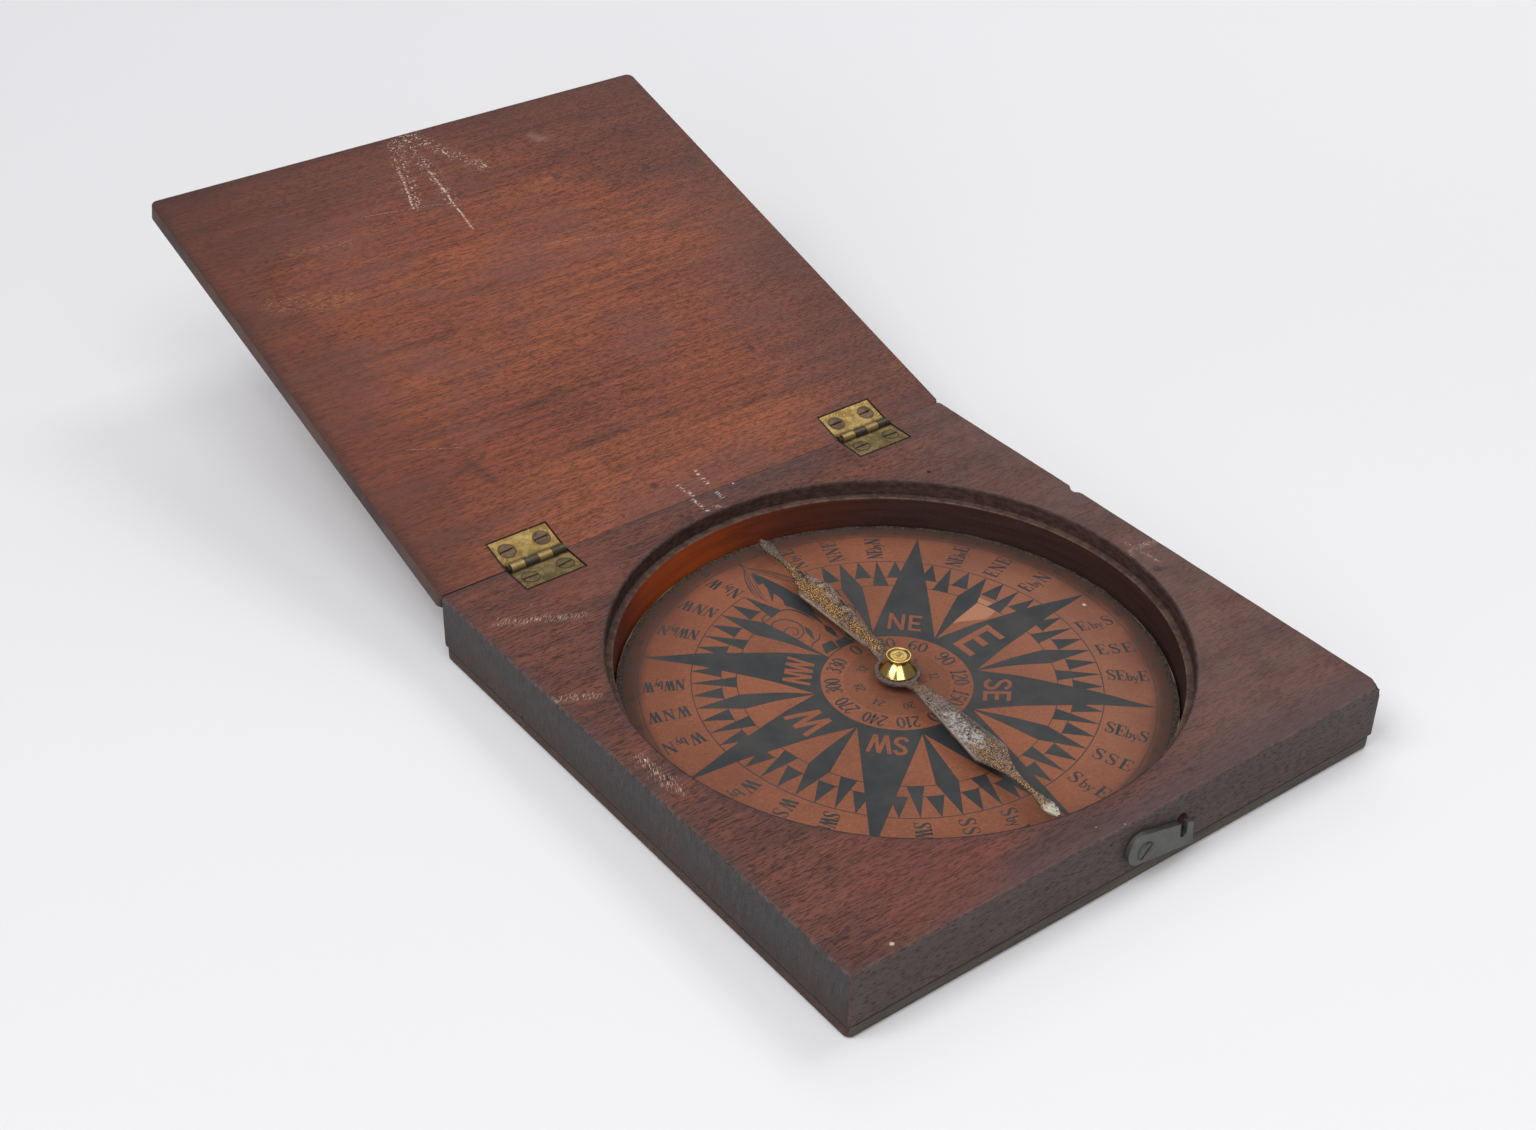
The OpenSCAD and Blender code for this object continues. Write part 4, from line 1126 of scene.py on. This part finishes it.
PLAIN = letters({
    "N": "78 | 10 0 10 100 15 | 10 100 66 0 15 | 66 0 66 100 15",
    "E": "66 | 10 0 10 100 15 | 10 92 58 92 14.5 | 10 50 52 50 15 | 10 8 58 8 14.5",
    "S": "72 | 60 76 15 48 90 14.5 33 93 14.5 17 87 14.5 12 72 15 22 58 15 42 48 15 56 36 15 56 18 15 "
         "42 8 14.5 24 8 14.5 8 22 15",
    "W": "112 | 6 100 30 0 14.5 | 30 0 54 100 14.5 | 54 100 78 0 14.5 | 78 0 102 100 14.5",
    " ": "10",
})
FIGURES = letters({
    "0": "62 | 28 97 7 10 78 13 6 50 16 10 22 13 28 3 7 46 22 13 50 50 16 46 78 13 28 97 7",
    "1": "44 | 22 0 22 100 15 | 6 78 22 98 7 | 6 3 38 3 6",
    "2": "62 | 8 76 9 18 93 9 34 95 10 48 80 15 42 58 15 22 32 9 6 6 7 | 5 6 54 6 13",
    "3": "60 | 8 80 9 20 95 8 38 93 11 44 74 14 32 56 10 20 53 6 | 20 53 6 38 48 10 48 28 15 38 7 11 "
         "20 3 8 6 16 9",
    "4": "62 | 40 0 40 100 14 | 40 98 5 30 7 | 3 30 56 30 7",
    "5": "60 | 14 93 50 93 12 | 13 95 10 52 6 | 10 52 5 28 62 9 46 50 14 48 28 15 36 6 10 18 3 8 6 16 "
         "9",
    "6": "62 | 46 86 8 32 97 7 14 78 12 7 42 15 14 12 12 30 3 7 47 15 12 48 36 13 34 54 7 16 44 7 9 "
         "30 10",
    "7": "56 | 4 93 52 93 12 | 49 93 20 0 12",
    "8": "62 | 28 97 7 12 86 11 14 66 12 30 52 11 47 34 13 46 12 12 28 3 7 10 12 12 9 34 12 28 54 9 "
         "43 68 11 44 86 11 28 97 7",
    "9": "62 | 10 14 8 24 3 7 42 22 12 49 58 15 42 88 12 26 97 7 9 85 12 8 64 13 22 46 7 40 56 7 47 "
         "70 10",
})


def write(text, alphabet, size, place, along, up, lift, longest=1e9):
    """Sets a word with the middle of its foot at a place. along and up are unit directions, and a word
    longer than longest is drawn narrower."""
    widths = [alphabet[letter][0] for letter in text]
    narrow = min(1.0, longest / (sum(widths) * size))
    pen = np.array(place) - np.array(along) * sum(widths) * size * narrow / 2
    along, up = np.array(along) * size * narrow, np.array(up) * size
    for letter, width in zip(text, widths):
        for stroke in alphabet[letter][1]:
            press(ribbon(smooth_path(stroke, 2 * len(stroke) + 5), pen, along, up)[None], lift)
        pen = pen + along * width


def directions(bearing):
    """The outward and the clockwise direction on a bearing."""
    turn = math.radians(bearing)
    return np.array([math.sin(turn), math.cos(turn)]), np.array([math.cos(turn), -math.sin(turn)])


QUARTERS = (("N", "E", "NE"), ("E", "S", "SE"), ("S", "W", "SW"), ("W", "N", "NW"))
for quarter, (a, b, between) in enumerate(QUARTERS):
    names = (f"{a} by {b}", " ".join(a + between), f"{between}by{a}", "", f"{between}by{b}",
             " ".join(b + between), f"{b} by {a}")
    for count, name in enumerate(names, start=8 * quarter + 1):
        if name:
            outward, clockwise = directions(11.25 * count)
            foot = WELL + outward * 53.5 + clockwise * 1.85
            write(name, SERIF, 3.8, foot, outward, -clockwise, 0.022, 9.8)
# Rings of figures: first bearing, step, distance from the middle, height, and the figure to write
FIGURE_RINGS = ((0.0, 10.0, 60.15, 1.9, lambda turn: 90 - abs(90 - turn % 180)),
                (0.0, 30.0, 12.9, 3.8, lambda turn: turn),
                (22.5, 45.0, 7.9, 2.2, lambda turn: (turn + 22.5) / 45 * 4))
for first, step, radius, size, figure in FIGURE_RINGS:
    for turn in np.arange(first, 360.0, step):
        outward, clockwise = directions(turn)
        write(f"{figure(turn):.0f}", FIGURES, size, WELL + outward * radius, clockwise, outward, 0.022,
              5.6)
print("lettering pressed in", len(PRESSED), "strokes")

# %% [markdown]
# ### The flower at north
# North is marked by a traditional flower: a spear between two curled leaves on a tied foot. The thin
# lines are pen strokes, drawn once to the left of the north line and mirrored to the right. The solid
# shapes are strips between a left and a right edge. The whole flower leans a little to the left.

# %% North flower
FLOWER_STROKES = [
    "0.1 58.9 0.25, -0.7 56.3 0.3, -3.3 52.2 0.3, -5.5 47 0.3, -6 43.6 0.1",
    "-0.3 56.4 0.15, -2.1 53 0.22, -4.7 47.6 0.22, -5.5 42.6 0.1",
    "-0.4 55 0.12, -3 50.1 0.2, -4.9 44.4 0.2, -5.2 41.4 0.1",
    "-0.5 53.8 0.12, -1.9 50.6 0.18, -3.7 46.4 0.2, -4.4 43.2 0.1",
    "-10.4 32.8 0.15, -11 34.6 0.3, -10.5 36.4 0.3, -8.4 37.2 0.3, -5.4 36.8 0.35, -2.6 35.4 0.45, "
    "-1.3 32.4 0.45, -0.9 29 0.2",
    "-10.4 32.6 0.2, -9.8 33.5 0.35, -8.3 33.9 0.35, -6 33 0.35, -4.7 29.8 0.4, -5.7 26.8 0.35, "
    "-8.2 25.5 0.35, -9.9 26.8 0.3, -9.6 29.2 0.3, -7.9 30.1 0.3, -6.5 29.1 0.3, -6.7 27.5 0.25, "
    "-7.9 26.8 0.2, -8.4 27.6 0.15",
    "-4.2 28.4 0.1, -4.6 26.2 1.3, -5.4 23.2 0.1",
    "-2.6 24.6 0.1, -4.2 22.9 0.35, -6.6 22.2 0.3, -8.4 20.6 0.1",
]
# The spear, its side thorn and the tied foot: left edge, height and right edge from the top down
FLOWER_SHAPES = [
    "-0.05 54.3 0.05, -0.9 52.5 0.4, -1.7 50.4 0.8, -2.4 48.3 1.1",
    "-0.9 48.9 0.9, -1.3 47 1.3, -1.9 45.2 1.6, -1.7 43.4 1.9, -1.6 41.5 2.1, -1.7 39.6 2.3, "
    "-2.8 37.6 2.6, -1.8 36 2, -1 33 1.2, -0.3 29 0.4, -0.05 26.6 0.05",
    "-1.9 45.4 -1.2, -2.8 43.4 -1.6, -3.6 41.8 -2.9, -4.2 40.5 -4.15",
    "-0.05 26.4 0.05, -0.9 24.4 0.9, -0.5 22.4 0.5, -0.05 20.9 0.05",
    "-5 21 -2, -5.7 19.4 -2.1, -6.3 17.9 -2.3",
    "2 21 5, 2.1 19.4 5.7, 2.3 17.9 6.3",
    "-1.5 20.4 1.5, -1.8 19 1.8, -2.2 17.8 2.2",
]


def places(text):
    """Rows of three numbers in millimetres from a line of text."""
    return np.array([row.split() for row in text.split(",")], float)


LEAN = 0.02
for count, path in enumerate(map(places, FLOWER_STROKES)):
    drawn = smooth_path(path, 4 * len(path) + 8)
    lean = np.column_stack([-LEAN * drawn[:, 1], np.zeros((len(drawn), 2))])
    press(np.stack([ribbon(drawn * [side, 1, 1] + lean, WELL) for side in (1, -1)]),
          0.026 + 0.0005 * count)
for count, shape in enumerate(map(places, FLOWER_SHAPES)):
    share, known = np.linspace(0, 1, 25), np.linspace(0, 1, len(shape))
    left_x, row_y, right_x = (np.interp(share, known, column) for column in shape.T)
    edges = [np.column_stack([edge_x - LEAN * row_y, row_y]) + WELL
             for edge_x in (left_x, (left_x + right_x) / 2, right_x)]
    press(np.stack(edges, axis=1)[None], 0.031 + 0.0005 * count)


def card_ink():
    ink = Finish("card_ink", Specular_IOR_Level=0.25)
    fine = ink.noise(2400, 3, 0.7)
    worn_away = ink.noise(90, 4, 0.65)
    ink.tone = ink.mix(worn_away.step(0.3, 0.7), (48, 51, 53), (64, 63, 63))
    ink.lay(fine.step(0.62, 0.72) * worn_away.step(0.4, 0.65) * 0.7, (122, 84, 68))
    ink.settle(0.5 + fine * 0.2)
    ink.bump(fine, 0.2, 0.00005)
    return ink


CARD_INK = card_ink()
add_piece("card_print", make_mesh("card_print", lifted()), "case", CARD_INK)

# %% Letters on the points
REVERSED = ((45.0, "N E", 5.5, 20.0), (90.0, "E", 11.0, 19.9), (135.0, "SE", 6.4, 19.8),
            (180.0, "S", 9.6, 19.9), (225.0, "SW", 6.4, 19.8), (270.0, "W", 8.8, 21.1),
            (315.0, "NW", 6.4, 19.5))
for bearing, name, size, foot in REVERSED:
    outward, clockwise = directions(bearing)
    longest = 8.6 if len(name) == 1 else 9.4
    write(name, PLAIN, size, WELL + outward * foot, clockwise, outward, 0.045, longest)
add_piece("card_letters", make_mesh("card_letters", lifted()), "case", CARD_PAPER)

# %% [markdown]
# ## The needle
# The needle is one flat steel plate, widest at each shoulder, with a small spade at each end and a
# round hub a little lower than its arms. Its outline is one function of the distance along it. The
# plate's section is a flat oblong with eased edges, carried along that line.

# %% Needle plate
NEEDLE_HALF, NEEDLE_T, HUB_R, HUB_LOW, ARM_LIFT = 59.5, 0.8, 5.4, 8.35, 1.2
NEEDLE_TURN = 5.3
SHOULDER, WAIST, SPADE = 0.6 * NEEDLE_HALF, 0.835 * NEEDLE_HALF, 0.945 * NEEDLE_HALF


def needle_half_width(s):
    """Half the plate's width at a distance s from the pivot. From the hub it widens evenly to the
    shoulder, hollows to the waist as a power of what is left, swells again into the spade on half
    a cosine, and ends blunt. Near the pivot the hub's circle is wider, and it wins."""
    s = np.abs(s)
    flare = 1.45 + 2.85 * np.clip((s - HUB_R) / (SHOULDER - HUB_R), 0, 1)
    hollow = 0.6 + 3.7 * (1 - np.clip((s - SHOULDER) / (WAIST - SHOULDER), 0, 1)) ** 2.2
    spade = 0.6 + 0.5 * (1 - np.cos(np.pi * np.clip((s - WAIST) / (SPADE - WAIST), 0, 1)))
    blunt = 1.6 - 1.2 * np.clip((s - SPADE) / (NEEDLE_HALF - SPADE), 0, 1) ** 1.6
    arm = np.select([s < SHOULDER, s < WAIST, s < SPADE], [flare, hollow, spade], blunt)
    hub = np.sqrt(np.clip(HUB_R**2 - s**2, 0, None))
    return np.maximum(arm, hub)


def needle_plate():
    """The section, an oblong with eased corners, scaled to the width at every distance s along it."""
    hub = HUB_R * np.sin(np.linspace(0, 1.25, 22))
    half = np.concatenate([hub, np.linspace(HUB_R + 0.1, SHOULDER - 0.7, 34),
                           np.linspace(SHOULDER - 0.4, SHOULDER + 0.4, 5),
                           np.linspace(SHOULDER + 0.8, NEEDLE_HALF - 0.3, 50),
                           [NEEDLE_HALF - 0.12, NEEDLE_HALF]])
    s = np.concatenate([-half[:0:-1], half])
    width = needle_half_width(s) - 0.15 * smooth(np.abs(s), NEEDLE_HALF - 0.12, NEEDLE_HALF)
    low = HUB_LOW + ARM_LIFT * smooth(np.abs(s), HUB_R, HUB_R + 4)
    ease, thick = 0.16, NEEDLE_T
    section = [(-1, -ease, ease), (-1, -ease, thick - ease), (-1, 0, thick), (-0.5, 0, thick),
               (0, 0, thick), (0.5, 0, thick), (1, 0, thick), (1, ease, thick - ease), (1, ease, ease),
               (1, 0, 0), (0, 0, 0), (-1, 0, 0)]
    rows = []
    for share, out, up in section:
        across = share * (width - ease) + out
        turn = math.radians(NEEDLE_TURN)
        rows.append(np.stack([WELL[0] + across * math.cos(turn) + s * math.sin(turn),
                              WELL[1] - across * math.sin(turn) + s * math.cos(turn), low + up],
                             axis=-1))
    return tube(np.stack(rows, axis=1))


def along_needle(finish):
    """The place on the needle in its own lengthwise frame: pivot in the middle, north end along +Y."""
    turn = math.radians(NEEDLE_TURN)
    x, y = WELL * MM
    middle = (-(x * math.cos(turn) - y * math.sin(turn)), -(x * math.sin(turn) + y * math.cos(turn)),
              0.0)
    return finish.mapped(middle, (0.0, 0.0, turn))


def needle_steel():
    steel = Finish("needle_steel", Metallic=0.6)
    across, s, _ = steel.millimetres(along_needle(steel))
    grit = steel.noise((2100, 1600, 2100), 3, 0.75)
    flecks = steel.cells((3700, 3000, 3700))
    patches = steel.noise((190, 130, 190), 5, 0.65)
    blotch = steel.noise((620, 420, 620), 4, 0.65)
    steel.tone = steel.mix(blotch.step(0.38, 0.62), (62, 50, 48), (122, 108, 104))
    steel.lay(grit.step(0.5, 0.66) * 0.7, (160, 148, 138))
    # Golden rust over the north arm, thinner on the south one
    golden = ((s + patches * 12).step(-12, 8) * 0.75 + s.step(-27, -36) * 0.55 + 0.3).min(1)
    middle_band = (abs(across) * 1.3 - abs(s) * 0.1 + blotch * 1.6).step(2, 0.6) * 0.6 + 0.4
    rust = golden * middle_band * (patches * 0.5 + blotch * 0.7).step(0.46, 0.62)
    grains = steel.mix(flecks.step(0.28, 0.5), (232, 176, 92), (66, 44, 34))
    steel.lay(rust * 0.95, grains)
    south = s.step(-6, -14)
    steel.lay(south * (1 - rust) * grit.step(0.44, 0.56) * 0.5, (166, 154, 150))
    steel.lay(south * patches.step(0.56, 0.66) * 0.5, (84, 60, 58))
    # Grey flat patches with no grain on the clockwise side of the north shoulder, and a painted
    # highlight: a pale line along both edges of the arms, where the eased edge catches the light
    flat = across.step(0.2, 1.8) * s.step(14, 24) * (1 - s.step(40, 46))
    steel.lay(flat * blotch.step(0.42, 0.56) * 0.75, steel.mix(grit.step(0.45, 0.6), (96, 82, 86),
                                                               (176, 160, 150)))
    half_width = 1.35 + abs(s) * 0.082
    # Painted highlight: the pale line along both edges.
    edge = (half_width - abs(across)).step(0.42, 0.2) * (1 - abs(s).step(34, 36)) * abs(s).step(9, 12)
    steel.lay(edge * 0.6, (186, 168, 152))
    # Bright bare steel at the south shoulder, partly a painted highlight, bright bare steel at the
    # south tip, and grey green at the north end
    bare_shoulder_glint = (speck(across * 2.4, s, -1, -27, 9.5, patches * 2.2 - 0.7)
                * (blotch * 0.8 + grit * 0.8).step(0.74, 0.9))
    steel.lay(bare_shoulder_glint * 0.9, (188, 184, 180))
    tip = s.step(-54.5, -56.5)
    steel.lay(tip * (blotch * 0.5 + grit * 0.5).step(0.38, 0.52) * 0.95, (206, 200, 184))
    north = s.step(44, 50)
    steel.lay(north * 0.8, steel.mix(grit.step(0.42, 0.6), (62, 60, 54), (112, 108, 98)))
    hub = distance(across, s)
    steel.lay(hub.step(9, 6) * 0.7, steel.mix(grit.step(0.42, 0.6), (66, 55, 52), (104, 92, 86)))
    plain_hub = hub.step(8, 5.6)
    steel.set("Metallic", 0.65 - (rust * 0.45 + plain_hub * 0.5).min(0.6))
    steel.settle(0.42 + rust * 0.25 + plain_hub * 0.2 - bare_shoulder_glint * 0.1)
    steel.bump(grit * 0.7 - flecks * 0.7 + blotch * 0.8, 0.75, 0.0003)
    return steel


NEEDLE_STEEL = needle_steel()
add_piece("needle_plate", make_mesh("needle_plate", needle_plate()), "needle",
          NEEDLE_STEEL, ["needle"], 50.0)

# %% [markdown]
# ## The cap
# The cap is turned from bright brass: a broad cone, a thin neck and a flat button with a turned rim and
# a centre mark. A turned shape is a profile carried once round its axis. Each corner of the profile is
# eased, because on polished metal it is the eased edge that catches the light.

# %% Turned cap
def eased_profile(corners, radius, steps=4):
    """A profile whose corners are rounded: each becomes a small quadratic curve that starts and ends
    a radius away along the two sides, or nearly half a side where the side is short."""
    corners = np.asarray(corners, float)
    pieces = [corners[:1]]
    for before, corner, after in zip(corners[:-2], corners[1:-1], corners[2:]):
        back, onward = before - corner, after - corner
        lengths = np.linalg.norm(back), np.linalg.norm(onward)
        start = corner + back / lengths[0] * min(radius, 0.45 * lengths[0])
        end = corner + onward / lengths[1] * min(radius, 0.45 * lengths[1])
        t = np.linspace(0, 1, steps)[:, None]
        pieces.append((1 - t) ** 2 * start + 2 * t * (1 - t) * corner + t**2 * end)
    return np.concatenate(pieces + [corners[-1:]])


def turned(profile, columns=96):
    """A closed solid of revolution about the needle's pivot: (radius, height) rows carried round it."""
    angle = np.linspace(0, 2 * np.pi, columns, endpoint=False)
    radius, height = np.maximum(profile[:, :1], 0.01), np.repeat(profile[:, 1:], columns, axis=1)
    return tube(np.stack([WELL[0] + radius * np.cos(angle), WELL[1] + radius * np.sin(angle), height],
                         axis=-1))


HUB_TOP = HUB_LOW + NEEDLE_T
CAP_TOP = HUB_TOP + 4.45
# Corners of the profile: radius, and height above the hub's underside, its top or the cap's top
CAP_CORNERS = [(radius, base + height) for base, corners in (
    (HUB_LOW, ((0, 1.6), (1.65, 1.6), (1.65, -0.34), (3.1, -0.34), (3.1, -0.04), (2.45, -0.04))),
    (HUB_TOP, ((2.45, 0.04), (4.18, 0.04), (4.33, 0.2), (4.45, 0.45), (3.0, 1.9))),
    (CAP_TOP, ((1.75, -1.45), (1.7, -0.62), (2.85, -0.5), (2.95, -0.4), (2.95, -0.1), (2.85, 0.0),
               (2.5, 0.0), (2.45, -0.26), (2.05, -0.26), (1.95, -0.16), (1.3, -0.16), (1.2, -0.22),
               (0.95, -0.16), (0.6, -0.12), (0.45, -0.2), (0, -0.2)))
    ) for radius, height in corners]


def cap_brass():
    brass = Finish("cap_brass", Metallic=1)
    x, y, z = brass.millimetres()
    away = distance(x - WELL[0], y - WELL[1])
    rings = brass.node("ShaderNodeCombineXYZ", {"X": away * 9, "Y": z * 9, "Z": 0.3})
    lines = brass.noise(1, 3, 0.6, place=rings)
    smudge = brass.noise(500, 3)
    brass.tone = brass.mix(smudge.step(0.35, 0.7) * 0.5, (232, 200, 124), (204, 160, 82))
    brass.lay(lines.step(0.62, 0.72) * 0.35, (150, 104, 40))
    # Painted shade: the neck under the button is darkened.
    neck_shade = z.step(HUB_TOP + 2.3, HUB_TOP + 2.9) * z.step(CAP_TOP - 0.45, CAP_TOP - 0.6)
    neck_shade = neck_shade * away.step(2.5, 2.1)
    brass.lay(neck_shade * 0.8, (84, 58, 24))
    button = z.step(CAP_TOP - 0.4, CAP_TOP - 0.3) * away.step(2.1, 1.95)
    brass.lay(button * (0.1 + smudge * 0.3), (150, 112, 56))
    groove = abs(away - 2.24).step(0.28, 0.18) * z.step(CAP_TOP - 0.4, CAP_TOP - 0.3)
    brass.lay((groove + away.step(0.6, 0.45) * button * 0.6).min(1) * 0.8, (60, 42, 22))
    brass.settle(0.11 + smudge * 0.1 + z.step(CAP_TOP - 0.6, CAP_TOP - 0.4) * 0.12)
    brass.bump(lines, 0.12, 0.00004)
    return brass


CAP_BRASS = cap_brass()
add_piece("cap_turning", make_mesh("cap_turning", turned(eased_profile(CAP_CORNERS, 0.12))), "needle",
          CAP_BRASS, ["needle_cap"], 60.0)

# %% [markdown]
# ## Small metal
# Leaves, screws, pins and the hook already have their true shapes in the machined model. What they lack
# is the eased edge of filed and handled metal. A welded copy gets that from a Bevel modifier.

# %% Softened copies
def softened(node, part, width, body, finish):
    """A copy of a node with its loose triangles welded, its flat faces joined and its edges eased."""
    name = f"{node.removesuffix('s')}_{part}"
    form = bmesh.new()
    form.from_mesh(nodes[node].data)
    bmesh.ops.remove_doubles(form, verts=form.verts, dist=1e-6)
    bmesh.ops.dissolve_limit(form, angle_limit=math.radians(1.0), verts=form.verts, edges=form.edges)
    mesh = bpy.data.meshes.new(name)
    form.to_mesh(mesh)
    form.free()
    piece = add_piece(name, mesh, body, finish, [node], 40.0)
    edge = piece.modifiers.new("eased_edges", "BEVEL")
    edge.width, edge.segments, edge.limit_method = width * MM, 2, "ANGLE"
    edge.angle_limit = math.radians(35.0)
    edge.harden_normals = True
    return piece


def leaf_brass(name, seed, bright, dull, green, on_lid):
    """Old brass: a polish that has browned in clouds, scratches, knuckles tarnished dark on the case
    side, and darker bands along the foot of the knuckles and round the screws."""
    brass = Finish(name, Metallic=0.9)
    x, y, z = brass.millimetres(closed_place(brass) if on_lid else None)
    shift = (seed * 0.013, seed * 0.007, 0)
    cloud = brass.noise(330, 4, 0.62, shift=shift)
    fine = brass.noise(2200, 3, 0.6, shift=shift)
    scratches = brass.noise((5200, 380, 900), 2, shift=shift, turn=0.6)
    from_axis = distance(y - AXIS_Y, z - AXIS_Z)
    brass.tone = brass.mix(cloud.step(0.36, 0.62), bright, dull)
    brass.lay(fine.step(0.5, 0.68) * 0.5, green)
    brass.lay(scratches.step(0.62, 0.7) * 0.5, (214, 188, 128))
    barrel_tone = (170, 146, 100) if on_lid else (74, 69, 62)
    brass.lay(from_axis.step(1.9, 1.5) * (0.5 if on_lid else 0.85), barrel_tone)
    foot = from_axis.step(1.35, 1.6) * from_axis.step(2.3, 1.8)
    brass.lay(foot * cloud.step(0.3, 0.5) * 0.7, (52, 44, 34))
    screw = distance(abs(abs(x) - HINGE_X) - 4.8, y - AXIS_Y + 5.3)
    brass.lay((screw + fine * 0.3).step(2.6, 2.3) * 0.75, (52, 42, 30))
    brass.settle(0.3 + cloud * 0.3)
    brass.bump(fine * 0.6 + scratches * 0.3 + cloud, 0.3, 0.00012)
    return brass


def old_steel(name, seed, metallic, dark, middle, rust, rusty=0.7):
    """Steel that has gone brown black, with rust in its hollows and a rubbed grey on top."""
    steel = Finish(name, Metallic=metallic)
    shift = (seed * 0.011, seed * 0.017, seed * 0.005)
    cloud = steel.noise(360, 4, 0.62, shift=shift)
    fine = steel.noise(2400, 3, 0.65, shift=shift)
    steel.tone = steel.mix(cloud.step(0.36, 0.64), dark, middle)
    steel.lay(fine.step(0.52, 0.66) * cloud.step(0.4, 0.6) * rusty, rust)
    steel.settle(0.36 + cloud * 0.3)
    steel.bump(fine + cloud, 0.35, 0.0001)
    return steel


LID_LEAF_BRASS = leaf_brass("lid_leaf_brass", 2, (176, 150, 92), (140, 112, 66), (116, 104, 74), True)
CASE_LEAF_BRASS = leaf_brass("case_leaf_brass", 5, (150, 128, 84), (112, 94, 62), (98, 90, 70), False)
SCREW_STEEL = old_steel("screw_steel", 4, 0.75, (94, 83, 60), (128, 112, 78), (120, 92, 52))
LID_SCREW_STEEL = old_steel("lid_screw_steel", 7, 0.75, (84, 66, 54), (118, 96, 80), (124, 92, 58))
PIN_STEEL = old_steel("pin_steel", 6, 0.7, (44, 44, 44), (78, 76, 74), (86, 66, 48))
HOOK_STEEL = old_steel("hook_steel", 9, 0.7, (86, 86, 84), (100, 100, 98), (80, 78, 72), 0.25)
LATCH_SCREW_STEEL = old_steel("latch_screw_steel", 3, 0.7, (78, 78, 76), (92, 92, 90), (74, 70, 64),
                              0.3)
for side in ("left", "right"):
    softened(f"{side}_lid_leaf", "plate", 0.09, "lid", LID_LEAF_BRASS)
    softened(f"{side}_case_leaf", "plate", 0.09, "case", CASE_LEAF_BRASS)
    softened(f"{side}_lid_screws", "heads", 0.06, "lid", LID_SCREW_STEEL)
    softened(f"{side}_case_screws", "heads", 0.06, "case", SCREW_STEEL)
    softened(f"{side}_hinge_pin", "rod", 0.1, "case", PIN_STEEL)
softened("latch_hook", "plate", 0.12, "hook", HOOK_STEEL)
softened("latch_screw", "head", 0.07, "case", LATCH_SCREW_STEEL)
softened("catch_stud", "pin", 0.15, "lid", PIN_STEEL)

# %% [markdown]
# ## What is hardly seen
# The pin under the cap, its bearing stone, the pasteboard under the card and the brads keep their
# machined shapes. They still get real finishes.

# %% Hidden finishes
def pasteboard():
    board = Finish("grey_pasteboard")
    fibre = board.noise((900, 900, 3000), 4, 0.6)
    layers = board.noise((60, 60, 6000), 2)
    board.tone = board.mix(fibre.step(0.3, 0.7), (112, 98, 80), (140, 126, 104))
    board.lay(layers.step(0.5, 0.7) * 0.5, (92, 80, 66))
    board.settle(0.9)
    board.bump(fibre, 0.4, 0.0002)
    return board


def bearing_stone():
    stone = Finish("bearing_stone", Roughness=0.15, Coat_Weight=0.4)
    bands = stone.noise((700, 700, 2600), 3, 0.5, 0.6)
    stone.set("Base Color", stone.mix(bands.step(0.35, 0.65), (120, 46, 34), (178, 106, 84)))
    stone.set("Roughness", 0.12 + bands * 0.1)
    return stone


BRIGHT_PIN = old_steel("bright_pin_steel", 12, 0.9, (120, 118, 114), (158, 156, 152), (120, 96, 70))
for node, finish in (("card_backing", pasteboard()), ("cap_jewel", bearing_stone()),
                     ("pivot_pin", BRIGHT_PIN), ("bottom_brads", PIN_STEEL)):
    nodes[node].data.materials.clear()
    nodes[node].data.materials.append(finish.material)
print("kept as machined:", [name for name, node in nodes.items() if not node.hide_render])
